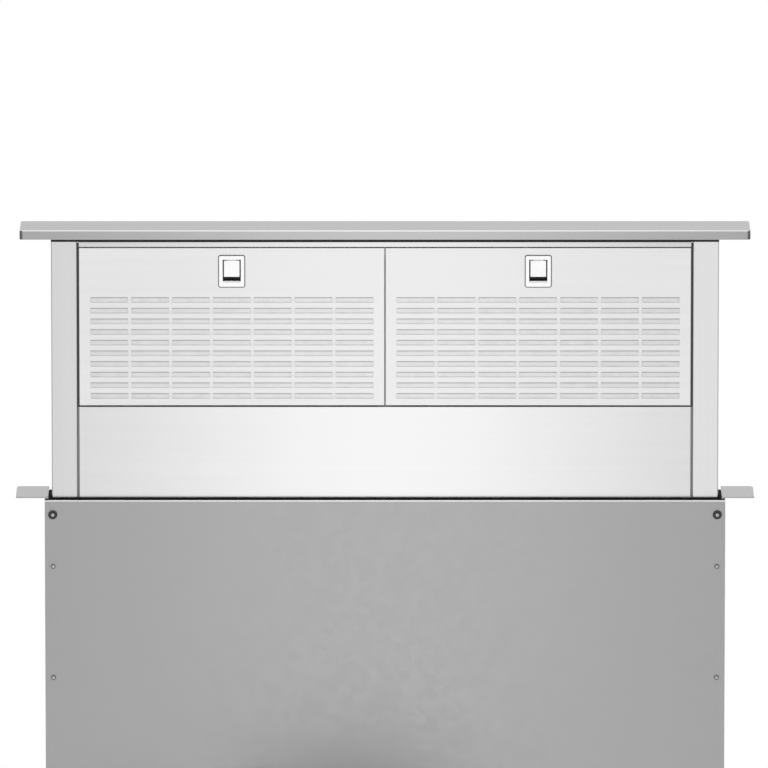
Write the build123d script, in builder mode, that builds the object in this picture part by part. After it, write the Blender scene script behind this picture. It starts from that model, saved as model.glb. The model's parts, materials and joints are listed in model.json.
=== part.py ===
from build123d import *
import os
from math import cos, radians, sin

# Retractable downdraft vent. A slim tower stands raised in a slot at the back of a worktop and draws
# cooking air through two grilles. It sinks into a housing that hangs under the worktop, until its cap
# lies over the slot. A blower on the front of the housing pulls the air down and out to a round duct.
#
# Frame: X to the right, Y to the back, Z up. The origin is the centre of the slot, level with the
# worktop's surface. All sizes are millimetres. The tower is modelled raised, as in use.

# ---------------------------------------------------------------- driving sizes
cap_width = 914.0
cap_depth = 60.0
cap_height = 12.0
rise = 331.0  # worktop to the underside of the raised cap
cap_overhang = 39.0  # cap beyond the tower, at each end
cap_nose = 9.0  # cap beyond the tower, front and back
tower_engagement = 90.0  # length of tower that stays below the worktop
housing_margin = 9.0  # housing beyond the tower, at each end
cap_margin = 2.0  # cap beyond the housing, front and back
housing_drop = 690.0  # worktop to the underside of the housing

housing_sheet = 1.2
tower_sheet = 1.0
cap_sheet = 1.2
flange_sheet = 1.5
running_gap = 0.3  # between faces that slide past each other
seat_gap = 0.1  # between fixed pieces that lie against each other
panel_cut = 8.0  # length of a cutter that passes through one sheet
near = 0.01  # tolerance when an edge is picked by its place

# rim, seal and end flanges
rim_drop = 2.8  # housing rim below the worktop
hem_height = 10.0
hem_fold_gap = 0.2
hem_end_gap = 1.0
seal_height = 14.0
seal_clearance = 1.0
closed_gap = 0.5  # cap to end flanges with the tower down
end_flange_margin = 6.0  # end flange beyond the cap's end
end_flange_tail = 8.0  # end flange beyond the housing, at the back
end_flange_leg = 45.0
leg_side_gap = 0.5  # end flange's leg to the housing's side
end_flange_corner = 7.0
end_flange_front_corner = 2.0
leg_notch = 4.0  # the leg is cut back by this beside the hem
tab_drop = 1.0  # hem to the tab's top
tab_reach = 9.0  # rim screw to the tab's free edge
rim_screw_inset = 10.1
rim_screw_drop = 21.3

# tower front
gasket_height = 4.5
column_width = 32.5
panel_gap = 2.5  # dark joint between a column and the panels
face_recess = 0.3
top_rail_height = 6.3
filter_top_gap = 1.5
sill_height = 115.5  # worktop to the top of the lower panel
filter_bottom_gap = 1.8
filter_split = 1.2
hat_inset = 2.0
tie_depth = 14.0

# grille slots
slot_rows = 10
slot_columns = 7
slot_length = 47.6
slot_height = 7.0
slot_bridge = 3.6
slot_row_pitch = 13.63
slot_lowest = 8.9  # filter edge to the lowest slot
slot_corner = 1.2
mesh_front_gap = 0.8
mesh_thickness = 8.0
mesh_sheet = 1.2  # one layer, measured front to back
mesh_pleats = 38
mesh_margin = 3.0

# latch
latch_drop = 29.7  # filter's top edge to the window's centre
bezel_width = 33.6
bezel_height = 41.4
bezel_corner = 3.0
bezel_proud = 0.9
window_width = 22.8
window_height = 29.8
latch_wall = 1.1
latch_depth = 9.0
button_width = 19.6
button_height = 20.6
button_top_gap = 1.5
button_thickness = 4.0
latch_travel = 4.2
ramp_height = 3.1
tongue_width = 12.0
tongue_thickness = 1.5
tongue_catch = 3.0
tongue_gap = 1.2  # top rail to the tongue behind it
latch_spring_radius = 1.7

# lift
lead_screw_radius = 6.0
lead_screw_top = 42.0  # worktop to the screw's upper end
journal_radius = 5.0
shaft_clearance = 0.05
belt_depth = 632.0  # worktop to the belt's middle
belt_width = 10.0
belt_thickness = 1.6
pulley_radius = 12.0
pulley_flange = 15.0
pulley_height = 14.0
pulley_teeth = 20
bearing_depth = 606.0
bearing_height = 12.0
bearing_radius = 15.0
gearbox_height = 40.0
lift_motor_radius = 18.0
lift_motor_length = 92.0
rail_height_gap = 50.0
rail_depth_half = 12.0
shoe_height = 20.0
nut_height = 20.0

# blower
blower_x = -30.0
blower_z = -505.0
wheel_radius = 100.0
wheel_eye = 80.0
wheel_width = 110.0
wheel_gap = 12.0  # scroll's back plate to the wheel
wheel_sheet = 1.5
wheel_blades = 36
inlet_radius = 95.0
scroll_width = 158.0
scroll_first_radius = 116.0
scroll_step = 20.0
scroll_outlet_x = 150.0  # wheel's axis to the outlet plane
scroll_outlet_height = 160.0
scroll_sheet = 1.2
blower_motor_radius = 50.0
blower_motor_length = 84.0
motor_gap = 8.0  # wheel to the motor
motor_shaft_radius = 6.0
collar_radius = 75.5
collar_sheet = 0.8
collar_length = 46.0
damper_inset = 17.0  # collar's flange to the damper's pin
flap_gap = 2.2
flap_sheet = 0.8
damper_pin_radius = 2.0

# control box and legs
box_width = 150.0
box_height = 190.0
box_depth = 46.0
box_x = -325.0
box_z = -500.0
gland_radius = 9.0
gland_length = 8.0
gland_bore = 5.0
gland_rise = 50.0  # box's middle to the gland
board_margin = 12.0
board_standoff = 8.0
board_thickness = 1.6
standoff_radius = 3.0
standoff_inset = 6.0
leg_height = 250.0
leg_width = 40.0
leg_sheet = 2.5
leg_foot = 50.0
leg_below = 90.0  # housing underside to the leg's foot
leg_adjust = 30.0
leg_bolt_drops = (50.0, 135.0)  # leg's top to each bolt
leg_bolt_radius = 3.0
bolt_flats = 10.0
bolt_head = 4.0
bolt_overhang = 2.0
bolt_hole = 3.2
foot_hole_radius = 2.75

# ---------------------------------------------------------------- worked-out places
left, right = -1, 1
front, back = -1, 1
tower_width = cap_width - 2 * cap_overhang
tower_depth = cap_depth - 2 * cap_nose
housing_width = tower_width + 2 * housing_margin
housing_depth = cap_depth - 2 * cap_margin
end_flange_reach = cap_width / 2 + end_flange_margin
half_tower = tower_width / 2
half_depth = tower_depth / 2
half_housing = housing_width / 2
housing_face = housing_depth / 2
housing_inside = housing_face - housing_sheet
web_outside = half_housing - housing_sheet - seat_gap
web_inside = web_outside - housing_sheet
tower_foot = -tower_engagement
tower_head = rise - gasket_height
travel = rise - flange_sheet - closed_gap
column_inner = half_tower - column_width
column_middle = half_tower - column_width / 2
panel_edge = column_inner - panel_gap
face_front = half_depth - face_recess  # distance of the panels' faces in front of the centre plane
face_back = face_front - tower_sheet
filter_top = tower_head - top_rail_height - filter_top_gap
filter_bottom = sill_height + filter_bottom_gap
filter_height = filter_top - filter_bottom
filter_width = panel_edge - filter_split / 2
filter_middle = filter_split / 2 + filter_width / 2
mesh_front = face_back - mesh_front_gap
mesh_back = mesh_front - mesh_thickness
filter_rear = mesh_back - seat_gap - tower_sheet
seat_front = filter_rear - running_gap
leg_x = web_inside - leg_side_gap  # outer face of the end flange's leg
seal_outer = leg_x - flange_sheet - seat_gap
hem_back = housing_face - 2 * housing_sheet - hem_fold_gap
latch_z = filter_top - latch_drop
latch_face = face_front + bezel_proud
latch_floor = face_front - latch_depth
latch_rear = latch_floor - latch_wall
window_top = latch_z + window_height / 2
window_bottom = latch_z - window_height / 2
button_top = window_top - button_top_gap
button_bottom = button_top - button_height
ramp_top = window_bottom + ramp_height
tongue_front = half_depth - tower_sheet - tongue_gap
tongue_top = tower_head - top_rail_height + tongue_catch
pan_top = -housing_drop + housing_sheet
leg_foot_z = -housing_drop - leg_below
leg_top_z = leg_foot_z + leg_height
leg_bolt_z = [leg_top_z - drop for drop in leg_bolt_drops]
scroll_back = housing_face + scroll_sheet
scroll_front = scroll_back + scroll_width
collar_x = blower_x + scroll_outlet_x
collar_y = -(scroll_back + scroll_width / 2)
scroll_floor = scroll_first_radius + 2 * scroll_step + scroll_step / 2
collar_z = blower_z - scroll_floor + scroll_outlet_height / 2
damper_x = collar_x + damper_inset
wheel_back = scroll_back + wheel_gap  # wheel's inlet side
wheel_front = wheel_back + wheel_width
motor_back = wheel_front + motor_gap
motor_front = motor_back + blower_motor_length

os.makedirs("parts", exist_ok=True)


def block(x, y, z, mode=Mode.ADD):
    """A box between two X, two Y and two Z values, given in any order."""
    middle = tuple((a + b) / 2 for a, b in (x, y, z))
    with Locations(middle):
        Box(abs(x[1] - x[0]), abs(y[1] - y[0]), abs(z[1] - z[0]), mode=mode)


def rod(centre, direction, radius, length, mode=Mode.ADD):
    """A cylinder centred on a point, along a direction."""
    with Locations(Plane(origin=centre, z_dir=direction)):
        Cylinder(radius, length, mode=mode)


def keep(builder, label):
    """Labels a finished piece and writes it."""
    builder.part.label = label
    export_step(builder.part, f"parts/{label}.step")


def side_name(side):
    return "left" if side == left else "right"


def pan_screw(head_radius, head_height, shank_radius, shank_length):
    """A pan-head screw with a cross recess, its seat at Z 0 and its head above it."""
    crown = 0.6 * head_height
    recess_length = 1.1 * head_radius
    recess_width = 0.25 * head_radius
    with BuildPart() as screw:
        Cylinder(head_radius, head_height, align=(Align.CENTER, Align.CENTER, Align.MIN))
        top_edge = screw.edges().filter_by(GeomType.CIRCLE).sort_by(Axis.Z)[-1]
        fillet(top_edge, crown)
        Cylinder(shank_radius, shank_length, align=(Align.CENTER, Align.CENTER, Align.MAX))
        with Locations((0, 0, head_height)):
            Box(recess_length, recess_width, head_height, mode=Mode.SUBTRACT)
            Box(recess_width, recess_length, head_height, mode=Mode.SUBTRACT)
    return screw.part


def hex_bolt(across_flats, head_height, shank_radius, shank_length):
    """A hexagon-head bolt with its seat at Z 0 and its head above it."""
    with BuildPart() as bolt:
        with BuildSketch():
            RegularPolygon(across_flats / 2, 6, major_radius=False)
        extrude(amount=head_height)
        Cylinder(shank_radius, shank_length, align=(Align.CENTER, Align.CENTER, Align.MAX))
    return bolt.part


# ---------------------------------------------------------------- housing
panel_screw_radius = 1.9
panel_screw_hole = 2.1
panel_screw_length = 5.5
panel_screw_rows = 5
panel_screw_first = 40.0  # side lip's top to the first screw
panel_screw_last = 30.0  # last screw to the housing's underside
screw_head_radius = 2.9
screw_head_height = 2.0
side_lip = 18.0
return_edge = 2.0  # side return's edge to the centre plane
sheet_bend = 1.0  # outside radius of a folded corner
rim_roundness = 0.9  # rim's radius as a share of the sheet
inlet_margin = 2.0
lip_top = -(end_flange_leg + rim_drop)
panel_screw_x = web_outside - side_lip / 2
panel_screw_run = housing_drop + lip_top - panel_screw_first - panel_screw_last
panel_screw_pitch = panel_screw_run / (panel_screw_rows - 1)
panel_screw_z = [lip_top - panel_screw_first - i * panel_screw_pitch for i in range(panel_screw_rows)]
rim_screw_x = half_housing - rim_screw_inset


def housing_panel(face, label):
    """Front or back sheet: side returns, a rolled hem along the rim and two shallow stiffening swages."""
    with BuildPart() as panel:
        block(
            (-half_housing, half_housing),
            (face * housing_face, face * housing_inside),
            (-housing_drop, -rim_drop),
        )
        for side in (left, right):
            block(
                (side * half_housing, side * (half_housing - housing_sheet)),
                (face * housing_face, face * return_edge),
                (-housing_drop, -rim_drop),
            )
        block(
            (-(leg_x - hem_end_gap), leg_x - hem_end_gap),
            (face * housing_inside, face * hem_back),
            (-rim_drop - hem_height, -rim_drop),
        )
        corners = panel.edges().filter_by(Axis.Z).group_by(Axis.X)
        fillet([e for g in (corners[0], corners[-1]) for e in g.sort_by(Axis.Y)[:: face][:1]], sheet_bend)
        rim = panel.edges().filter_by(Axis.X).filter_by(
            lambda e: abs(e.center().Z + rim_drop) < near and abs(e.center().X) < near
        )
        fillet(rim, rim_roundness * housing_sheet)
        for z in panel_screw_z:
            for side in (left, right):
                screw_place = (side * panel_screw_x, face * housing_face, z)
                rod(screw_place, (0, 1, 0), panel_screw_hole, panel_cut, Mode.SUBTRACT)
        for side in (left, right):
            screw_place = (side * rim_screw_x, face * housing_face, -rim_screw_drop)
            rod(screw_place, (0, 1, 0), panel_screw_hole, panel_cut, Mode.SUBTRACT)
            for z in leg_bolt_z:
                rod((side * half_housing, 0, z), (1, 0, 0), bolt_hole, 4 * housing_sheet, Mode.SUBTRACT)
        if face == front:
            inlet_place = (blower_x, -housing_face, blower_z)
            rod(inlet_place, (0, 1, 0), inlet_radius + inlet_margin, panel_cut, Mode.SUBTRACT)
            for x, z in blower_bolts:
                rod((x, -housing_face, z), (0, 1, 0), bolt_hole, panel_cut, Mode.SUBTRACT)
    keep(panel, label)


plate_side_margin = 36.0
plate_top_margin = 34.0
plate_foot_margin = 10.0
plate_corner = 6.0
middle_bolt_rise = 20.0  # blower's axis to the bolts beside it
blower_plate_left = blower_x - scroll_first_radius - scroll_step - plate_side_margin
blower_plate_right = collar_x
blower_plate_top = blower_z + scroll_first_radius + plate_top_margin
blower_plate_bottom = blower_z - scroll_floor - plate_foot_margin
bolt_inset = 9.0
blower_bolts = [
    (x, z)
    for x in (blower_plate_left + bolt_inset, blower_plate_right - bolt_inset)
    for z in (blower_plate_top - bolt_inset, blower_z + middle_bolt_rise)
] + [(blower_plate_left + bolt_inset, blower_plate_bottom + bolt_inset)]

housing_panel(front, "housing_front_panel")
housing_panel(back, "housing_back_panel")

web_drop = 1.0  # rim to the top of the side
web_relief = 1.0  # shallow step in the side's front and back edges, above the lips
web_relief_width = 4.0
with BuildPart() as housing_sides:
    for side in (left, right):
        block(
            (side * web_outside, side * web_inside),
            (-housing_inside, housing_inside),
            (pan_top, -rim_drop - web_drop),
        )
        for face in (front, back):
            lip_outer = face * (housing_inside - seat_gap)
            block(
                (side * web_outside, side * (web_outside - side_lip)),
                (lip_outer, lip_outer - face * housing_sheet),
                (pan_top, lip_top),
            )
            block(
                (side * web_outside, side * (web_outside - web_relief)),
                (face * housing_inside, face * (housing_inside - web_relief_width)),
                (lip_top, -rim_drop),
                Mode.SUBTRACT,
            )
        for z in leg_bolt_z:
            rod((side * web_outside, 0, z), (1, 0, 0), bolt_hole, 4 * housing_sheet, Mode.SUBTRACT)
        for face in (front, back):
            lip_outer = face * (housing_inside - seat_gap)
            for z in panel_screw_z:
                screw_place = (side * panel_screw_x, lip_outer, z)
                rod(screw_place, (0, 1, 0), panel_screw_hole, panel_cut, Mode.SUBTRACT)
keep(housing_sides, "housing_sides")

pan_half = web_inside - seat_gap
pan_depth_half = housing_inside - 2 * seat_gap
pan_flange = 14.0
pan_lip_gap = 1.0
journal_hole_margin = 1.0
with BuildPart() as housing_bottom_pan:
    block((-pan_half, pan_half), (-pan_depth_half, pan_depth_half), (-housing_drop, pan_top))
    for face in (front, back):
        block(
            (-(web_outside - side_lip - pan_lip_gap), web_outside - side_lip - pan_lip_gap),
            (face * pan_depth_half, face * (pan_depth_half - housing_sheet)),
            (-housing_drop, -housing_drop + pan_flange),
        )
    for side in (left, right):
        journal_place = (side * column_middle, 0, -housing_drop)
        rod(journal_place, (0, 0, 1), journal_radius + journal_hole_margin, panel_cut, Mode.SUBTRACT)
keep(housing_bottom_pan, "housing_bottom_pan")

# ---------------------------------------------------------------- end flanges, rim screws and seal
tab_inner = rim_screw_x - tab_reach
tab_top = -rim_drop - hem_height - tab_drop


def end_flange(side):
    """Bracket that rests on the worktop beside the slot; its leg and tabs go down inside the housing."""
    tab_outer = housing_inside - seat_gap
    with BuildPart() as flange:
        block(
            (side * (leg_x - flange_sheet), side * end_flange_reach),
            (-housing_face, housing_face + end_flange_tail),
            (0, flange_sheet),
        )
        outer_corners = flange.edges().filter_by(Axis.Z).sort_by(Axis.X)[:: side][-2:]
        fillet(outer_corners.sort_by(Axis.Y)[-1], end_flange_corner)
        front_corners = flange.edges().filter_by(Axis.Z).sort_by(Axis.Y)[:2]
        fillet(front_corners.sort_by(Axis.X)[:: side][-1], end_flange_front_corner)
        block(
            (side * leg_x, side * (leg_x - flange_sheet)),
            (-tab_outer, tab_outer),
            (-end_flange_leg, flange_sheet),
        )
        for face in (front, back):
            block(
                (side * leg_x, side * (leg_x - flange_sheet)),
                (face * tab_outer, face * (tab_outer - leg_notch)),
                (tab_top, flange_sheet),
                Mode.SUBTRACT,
            )
            block(
                (side * leg_x, side * tab_inner),
                (face * tab_outer, face * (tab_outer - flange_sheet)),
                (-end_flange_leg, tab_top),
            )
            screw_place = (side * rim_screw_x, face * tab_outer, -rim_screw_drop)
            rod(screw_place, (0, 1, 0), panel_screw_hole, panel_cut, Mode.SUBTRACT)
    keep(flange, f"end_flange_{side_name(side)}")


end_flange(left)
end_flange(right)

washer_radius = 5.7
washer_thickness = 1.0
rim_places = [
    Plane(
        origin=(side * rim_screw_x, face * housing_face, -rim_screw_drop),
        x_dir=(1, 0, 0),
        z_dir=(0, face, 0),
    )
    for side in (left, right)
    for face in (front, back)
]
with BuildPart() as flange_washers:
    with Locations(*rim_places):
        Cylinder(washer_radius, washer_thickness, align=(Align.CENTER, Align.CENTER, Align.MIN))
        Cylinder(panel_screw_hole, 4 * washer_thickness, mode=Mode.SUBTRACT)
keep(flange_washers, "flange_washers")

seal_side_inner = half_tower + seal_clearance
seal_front_inner = half_depth + seal_clearance
seal_top = -running_gap
seal_rounding = 1.2
with BuildPart() as slot_seal:
    with BuildSketch(Plane.XY.offset(seal_top - seal_height)):
        Rectangle(2 * seal_outer, 2 * (hem_back - seat_gap))
        Rectangle(2 * seal_side_inner, 2 * seal_front_inner, mode=Mode.SUBTRACT)
    extrude(amount=seal_height)
    fillet(slot_seal.edges().group_by(Axis.Z)[-1], seal_rounding)
keep(slot_seal, "slot_seal")

# ---------------------------------------------------------------- guides in the housing
rail_top = -rail_height_gap
rail_overrun = 20.0  # rail below the lowered tower's foot
rail_clearance = 1.2
rail_bottom = tower_foot - travel - rail_overrun
rail_sheet = 1.5
rail_inner = half_tower + rail_clearance
with BuildPart() as guide_rails:
    for side in (left, right):
        block(
            (side * (web_inside - seat_gap), side * (web_inside - seat_gap - rail_sheet)),
            (-rail_depth_half, rail_depth_half),
            (rail_bottom, rail_top),
        )
        for face in (front, back):
            block(
                (side * (web_inside - seat_gap), side * rail_inner),
                (face * rail_depth_half, face * (rail_depth_half - rail_sheet)),
                (rail_bottom, rail_top),
            )
keep(guide_rails, "guide_rails")

glide_top = -16.0
glide_bottom = -44.0
glide_inset = 5.0
glide_tab_gap = 1.0
glide_rounding = 0.8
with BuildPart() as glide_pads:
    for side in (left, right):
        for face in (front, back):
            block(
                (side * (column_inner + glide_inset), side * (tab_inner - glide_tab_gap)),
                (face * (half_depth + running_gap), face * (housing_inside - seat_gap)),
                (glide_bottom, glide_top),
            )
    fillet(glide_pads.edges().filter_by(Axis.X), glide_rounding)
keep(glide_pads, "glide_pads")

# ---------------------------------------------------------------- lead screws and belt drive
gearbox_bottom = pan_top
gearbox_top = gearbox_bottom + gearbox_height
thread_gap = 1.0  # bearing to the thread, and pan to the journal
screw_tip_chamfer = 1.5
tooth_radius = 0.8
pulley_flange_sheet = 1.2


def lead_screw(side):
    """Trapezoidal screw, drawn at its crest diameter, with journals at the foot."""
    with BuildPart() as screw:
        thread_bottom = -bearing_depth + bearing_height / 2 + thread_gap
        rod(
            (side * column_middle, 0, (thread_bottom - lead_screw_top) / 2),
            (0, 0, 1),
            lead_screw_radius,
            -lead_screw_top - thread_bottom,
        )
        chamfer(screw.edges().group_by(Axis.Z)[-1], screw_tip_chamfer)
        journal_bottom = pan_top + thread_gap
        rod(
            (side * column_middle, 0, (thread_bottom + journal_bottom) / 2),
            (0, 0, 1),
            journal_radius,
            thread_bottom - journal_bottom,
        )
    keep(screw, f"lead_screw_{side_name(side)}")


def belt_pulley(side):
    """Toothed pulley between two flanges, pressed on the screw's journal."""
    with BuildPart() as pulley:
        with Locations((side * column_middle, 0, -belt_depth)):
            Cylinder(pulley_radius, pulley_height)
            with PolarLocations(pulley_radius, pulley_teeth):
                Cylinder(tooth_radius, pulley_height, mode=Mode.SUBTRACT)
            for end in (-1, 1):
                with Locations((0, 0, end * (pulley_height - pulley_flange_sheet) / 2)):
                    Cylinder(pulley_flange, pulley_flange_sheet)
            Cylinder(journal_radius + shaft_clearance, 2 * pulley_height, mode=Mode.SUBTRACT)
    keep(pulley, f"belt_pulley_{side_name(side)}")


for screw_side in (left, right):
    lead_screw(screw_side)
    belt_pulley(screw_side)

with BuildPart() as timing_belt:
    belt_inner = pulley_radius + running_gap
    with BuildSketch(Plane.XY.offset(-belt_depth - belt_width / 2)):
        SlotCenterToCenter(2 * column_middle, 2 * (belt_inner + belt_thickness))
        SlotCenterToCenter(2 * column_middle, 2 * belt_inner, mode=Mode.SUBTRACT)
    extrude(amount=belt_width)
keep(timing_belt, "timing_belt")

foot_bearing_height = 24.0
with BuildPart() as screw_bearings:
    for side in (left, right):
        with Locations((side * column_middle, 0, -bearing_depth)):
            Cylinder(bearing_radius, bearing_height)
        block(
            (side * column_middle, side * (web_inside - seat_gap)),
            (-bearing_radius, bearing_radius),
            (-bearing_depth - bearing_height / 2, -bearing_depth + bearing_height / 2),
        )
        bearing_place = (side * column_middle, 0, -bearing_depth)
        rod(bearing_place, (0, 0, 1), journal_radius + shaft_clearance, 2 * bearing_height, Mode.SUBTRACT)
    with Locations((left * column_middle, 0, pan_top)):
        Cylinder(bearing_radius, foot_bearing_height, align=(Align.CENTER, Align.CENTER, Align.MIN))
        Cylinder(
            journal_radius + shaft_clearance,
            foot_bearing_height,
            align=(Align.CENTER, Align.CENTER, Align.MIN),
            mode=Mode.SUBTRACT,
        )
keep(screw_bearings, "screw_bearings")

gearbox_half = 21.0
gearbox_reach = 23.0  # lead screw's axis to the gearbox's inner end
gearbox_wall_gap = 2.0
gearbox_corner = 5.0
gearbox_boss_radius = 13.0
gearbox_boss_length = 3.0
gearbox_inner = column_middle - gearbox_reach
with BuildPart() as lift_gearbox:
    block(
        (gearbox_inner, web_inside - gearbox_wall_gap),
        (-gearbox_half, gearbox_half),
        (gearbox_bottom, gearbox_top),
    )
    fillet(lift_gearbox.edges().filter_by(Axis.Z), gearbox_corner)
    rod((column_middle, 0, gearbox_top), (0, 0, 1), gearbox_boss_radius, gearbox_boss_length)
    journal_place = (column_middle, 0, gearbox_bottom)
    rod(journal_place, (0, 0, 1), journal_radius + shaft_clearance, 4 * gearbox_height, Mode.SUBTRACT)
keep(lift_gearbox, "lift_gearbox")

lift_motor_z = gearbox_bottom + gearbox_height / 2
lift_motor_rounding = 2.0
lift_motor_boss_radius = 8.0
lift_motor_boss_length = 6.0
with BuildPart() as lift_motor:
    motor_end = gearbox_inner - lift_motor_length
    rod(((gearbox_inner + motor_end) / 2, 0, lift_motor_z), (1, 0, 0), lift_motor_radius, lift_motor_length)
    fillet(lift_motor.edges().filter_by(GeomType.CIRCLE), lift_motor_rounding)
    rod((motor_end, 0, lift_motor_z), (1, 0, 0), lift_motor_boss_radius, lift_motor_boss_length)
keep(lift_motor, "lift_motor")

switch_outer = web_inside - seat_gap - rail_sheet - seat_gap
switch_clearance = 1.0
switch_inner = half_tower + switch_clearance
switch_half = 8.0
switch_body = 15.0
switch_plunger = 3.0
plunger_half = 1.5
plunger_inset = 1.0
with BuildPart() as limit_switches:
    upper_contact = tower_foot + shoe_height + running_gap
    lower_contact = tower_foot - travel - running_gap
    for contact, way in ((upper_contact, 1), (lower_contact, -1)):
        block(
            (left * switch_outer, left * switch_inner),
            (-switch_half, switch_half),
            (contact + way * switch_plunger, contact + way * (switch_plunger + switch_body)),
        )
        block(
            (left * (switch_outer - plunger_inset), left * (switch_inner + plunger_inset)),
            (-plunger_half, plunger_half),
            (contact, contact + way * (switch_plunger + plunger_inset)),
        )
keep(limit_switches, "limit_switches")

# ---------------------------------------------------------------- housing screws
panel_screw = pan_screw(screw_head_radius, screw_head_height, panel_screw_radius, panel_screw_length)
with BuildPart() as housing_screws:
    with Locations(*[place.offset(washer_thickness) for place in rim_places]):
        add(panel_screw)
    for face in (front, back):
        for side in (left, right):
            for z in panel_screw_z:
                place = Plane(
                    origin=(side * panel_screw_x, face * housing_face, z), x_dir=(1, 0, 0), z_dir=(0, face, 0)
                )
                with Locations(place):
                    add(panel_screw)
keep(housing_screws, "housing_screws")

# ---------------------------------------------------------------- blower


def volute(grow):
    """The scroll's inner outline: three quarter turns whose radius steps up, the outlet run and a tongue."""
    step = scroll_step
    first = (-step / 2, step / 2)
    second = (-step / 2, -step / 2)
    third = (step / 2, -step / 2)
    radius = scroll_first_radius
    tongue_radius = 8.0
    right_x = first[0] + radius
    ceiling = -scroll_floor + scroll_outlet_height
    with BuildSketch() as outline:
        with BuildLine():
            CenterArc(first, radius, 0, 90)
            CenterArc(second, radius + step, 90, 90)
            CenterArc(third, radius + 2 * step, 180, 90)
            Line((third[0], -scroll_floor), (scroll_outlet_x, -scroll_floor))
            Line((scroll_outlet_x, -scroll_floor), (scroll_outlet_x, ceiling))
            Line((scroll_outlet_x, ceiling), (right_x + tongue_radius, ceiling))
            CenterArc((right_x + tongue_radius, ceiling + tongue_radius), tongue_radius, 180, 90)
            Line((right_x, ceiling + tongue_radius), (right_x, first[1]))
        make_face()
        if grow:
            offset(amount=grow)
    return outline.sketch


def scroll_plane(distance):
    """A plane across the blower's axis, at a distance in front of the housing's centre plane."""
    return Plane(origin=(blower_x, -distance, blower_z), x_dir=(1, 0, 0), z_dir=(0, -1, 0))


bell_gap = 2.0  # wheel's eye to the bell's throat
bell_throat = wheel_eye + bell_gap
bell_length = 10.0
bell_outer_curve = 1.6 * bell_length
bell_inner_curve = 1.5 * bell_length
bell_foot = inlet_radius + seat_gap
with BuildPart() as scroll_back_plate:
    block(
        (blower_plate_left, blower_plate_right),
        (-housing_face, -scroll_back),
        (blower_plate_bottom, blower_plate_top),
    )
    fillet(scroll_back_plate.edges().filter_by(Axis.Y), plate_corner)
    rod((blower_x, -housing_face, blower_z), (0, 1, 0), inlet_radius, panel_cut, Mode.SUBTRACT)
    with BuildSketch(Plane.XY) as bell:
        with BuildLine():
            outer = (inlet_radius, -housing_face)
            inner = (bell_throat, -housing_face - bell_length)
            RadiusArc(outer, inner, bell_outer_curve)
            Line(inner, (bell_throat + scroll_sheet, inner[1]))
            RadiusArc((bell_throat + scroll_sheet, inner[1]), (bell_foot, -scroll_back), -bell_inner_curve)
            Line((bell_foot, -scroll_back), (bell_foot, -housing_face))
            Line((bell_foot, -housing_face), outer)
        make_face()
    revolved_bell = revolve(bell.sketch, Axis.Y, mode=Mode.PRIVATE)
    with Locations((blower_x, 0, blower_z)):
        add(revolved_bell)
    for x, z in blower_bolts:
        rod((x, -housing_face, z), (0, 1, 0), bolt_hole, panel_cut, Mode.SUBTRACT)
keep(scroll_back_plate, "scroll_back_plate")

with BuildPart() as scroll_wrap:
    with BuildSketch(scroll_plane(scroll_back)):
        add(volute(scroll_sheet))
        add(volute(0), mode=Mode.SUBTRACT)
        with Locations((scroll_outlet_x + 2 * scroll_sheet, -scroll_floor + scroll_outlet_height / 2)):
            Rectangle(4 * scroll_sheet, scroll_outlet_height + 4 * scroll_sheet, mode=Mode.SUBTRACT)
    extrude(amount=scroll_width)
keep(scroll_wrap, "scroll_wrap")

bracket_radius = 84.0
bracket_angles = (90, 210, 330)
front_flange = 5.0  # front plate beyond the wrap
motor_opening_gap = 6.0
outlet_trim = 12.0  # cutter that squares the flange off at the outlet
with BuildPart() as scroll_front_plate:
    with BuildSketch(scroll_plane(scroll_front)):
        add(volute(scroll_sheet + front_flange))
        with Locations((scroll_outlet_x + outlet_trim / 2, -scroll_floor + scroll_outlet_height / 2)):
            Rectangle(outlet_trim, scroll_outlet_height + 2 * outlet_trim, mode=Mode.SUBTRACT)
        Circle(blower_motor_radius + motor_opening_gap, mode=Mode.SUBTRACT)
        with PolarLocations(bracket_radius, len(bracket_angles), start_angle=bracket_angles[0]):
            Circle(bolt_hole, mode=Mode.SUBTRACT)
    extrude(amount=scroll_sheet)
keep(scroll_front_plate, "scroll_front_plate")

blade_inset = 1.0
blade_angle = 30
blade_margin = 2.0
blade_sheet = 1.0
hub_radius = 16.0
hub_length = 25.0
hub_root = 1.0  # hub's end to the wheel's front face, inside its disc
with BuildPart() as impeller:
    with BuildSketch(scroll_plane(wheel_front - wheel_sheet)):
        Circle(wheel_radius)
        Circle(motor_shaft_radius + shaft_clearance, mode=Mode.SUBTRACT)
    extrude(amount=wheel_sheet)
    with BuildSketch(scroll_plane(wheel_back)):
        Circle(wheel_radius)
        Circle(wheel_eye, mode=Mode.SUBTRACT)
    extrude(amount=wheel_sheet)
    with BuildSketch(scroll_plane(wheel_back + blade_inset)):
        with PolarLocations((wheel_radius + wheel_eye) / 2, wheel_blades):
            with Locations(Location((0, 0, 0), (0, 0, -blade_angle))):
                Rectangle(wheel_radius - wheel_eye - blade_margin, blade_sheet)
    extrude(amount=wheel_width - 2 * blade_inset)
    with BuildSketch(scroll_plane(wheel_front - hub_root - hub_length)):
        Circle(hub_radius)
        Circle(motor_shaft_radius + shaft_clearance, mode=Mode.SUBTRACT)
    extrude(amount=hub_length)
keep(impeller, "impeller")

shaft_overhang = 30.0
shaft_end_gap = 4.0
shaft_back = wheel_front - shaft_overhang
shaft_front = motor_front - shaft_end_gap
with BuildPart() as motor_shaft:
    shaft_middle = (blower_x, -(shaft_back + shaft_front) / 2, blower_z)
    rod(shaft_middle, (0, 1, 0), motor_shaft_radius, shaft_front - shaft_back)
keep(motor_shaft, "motor_shaft")

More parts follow.
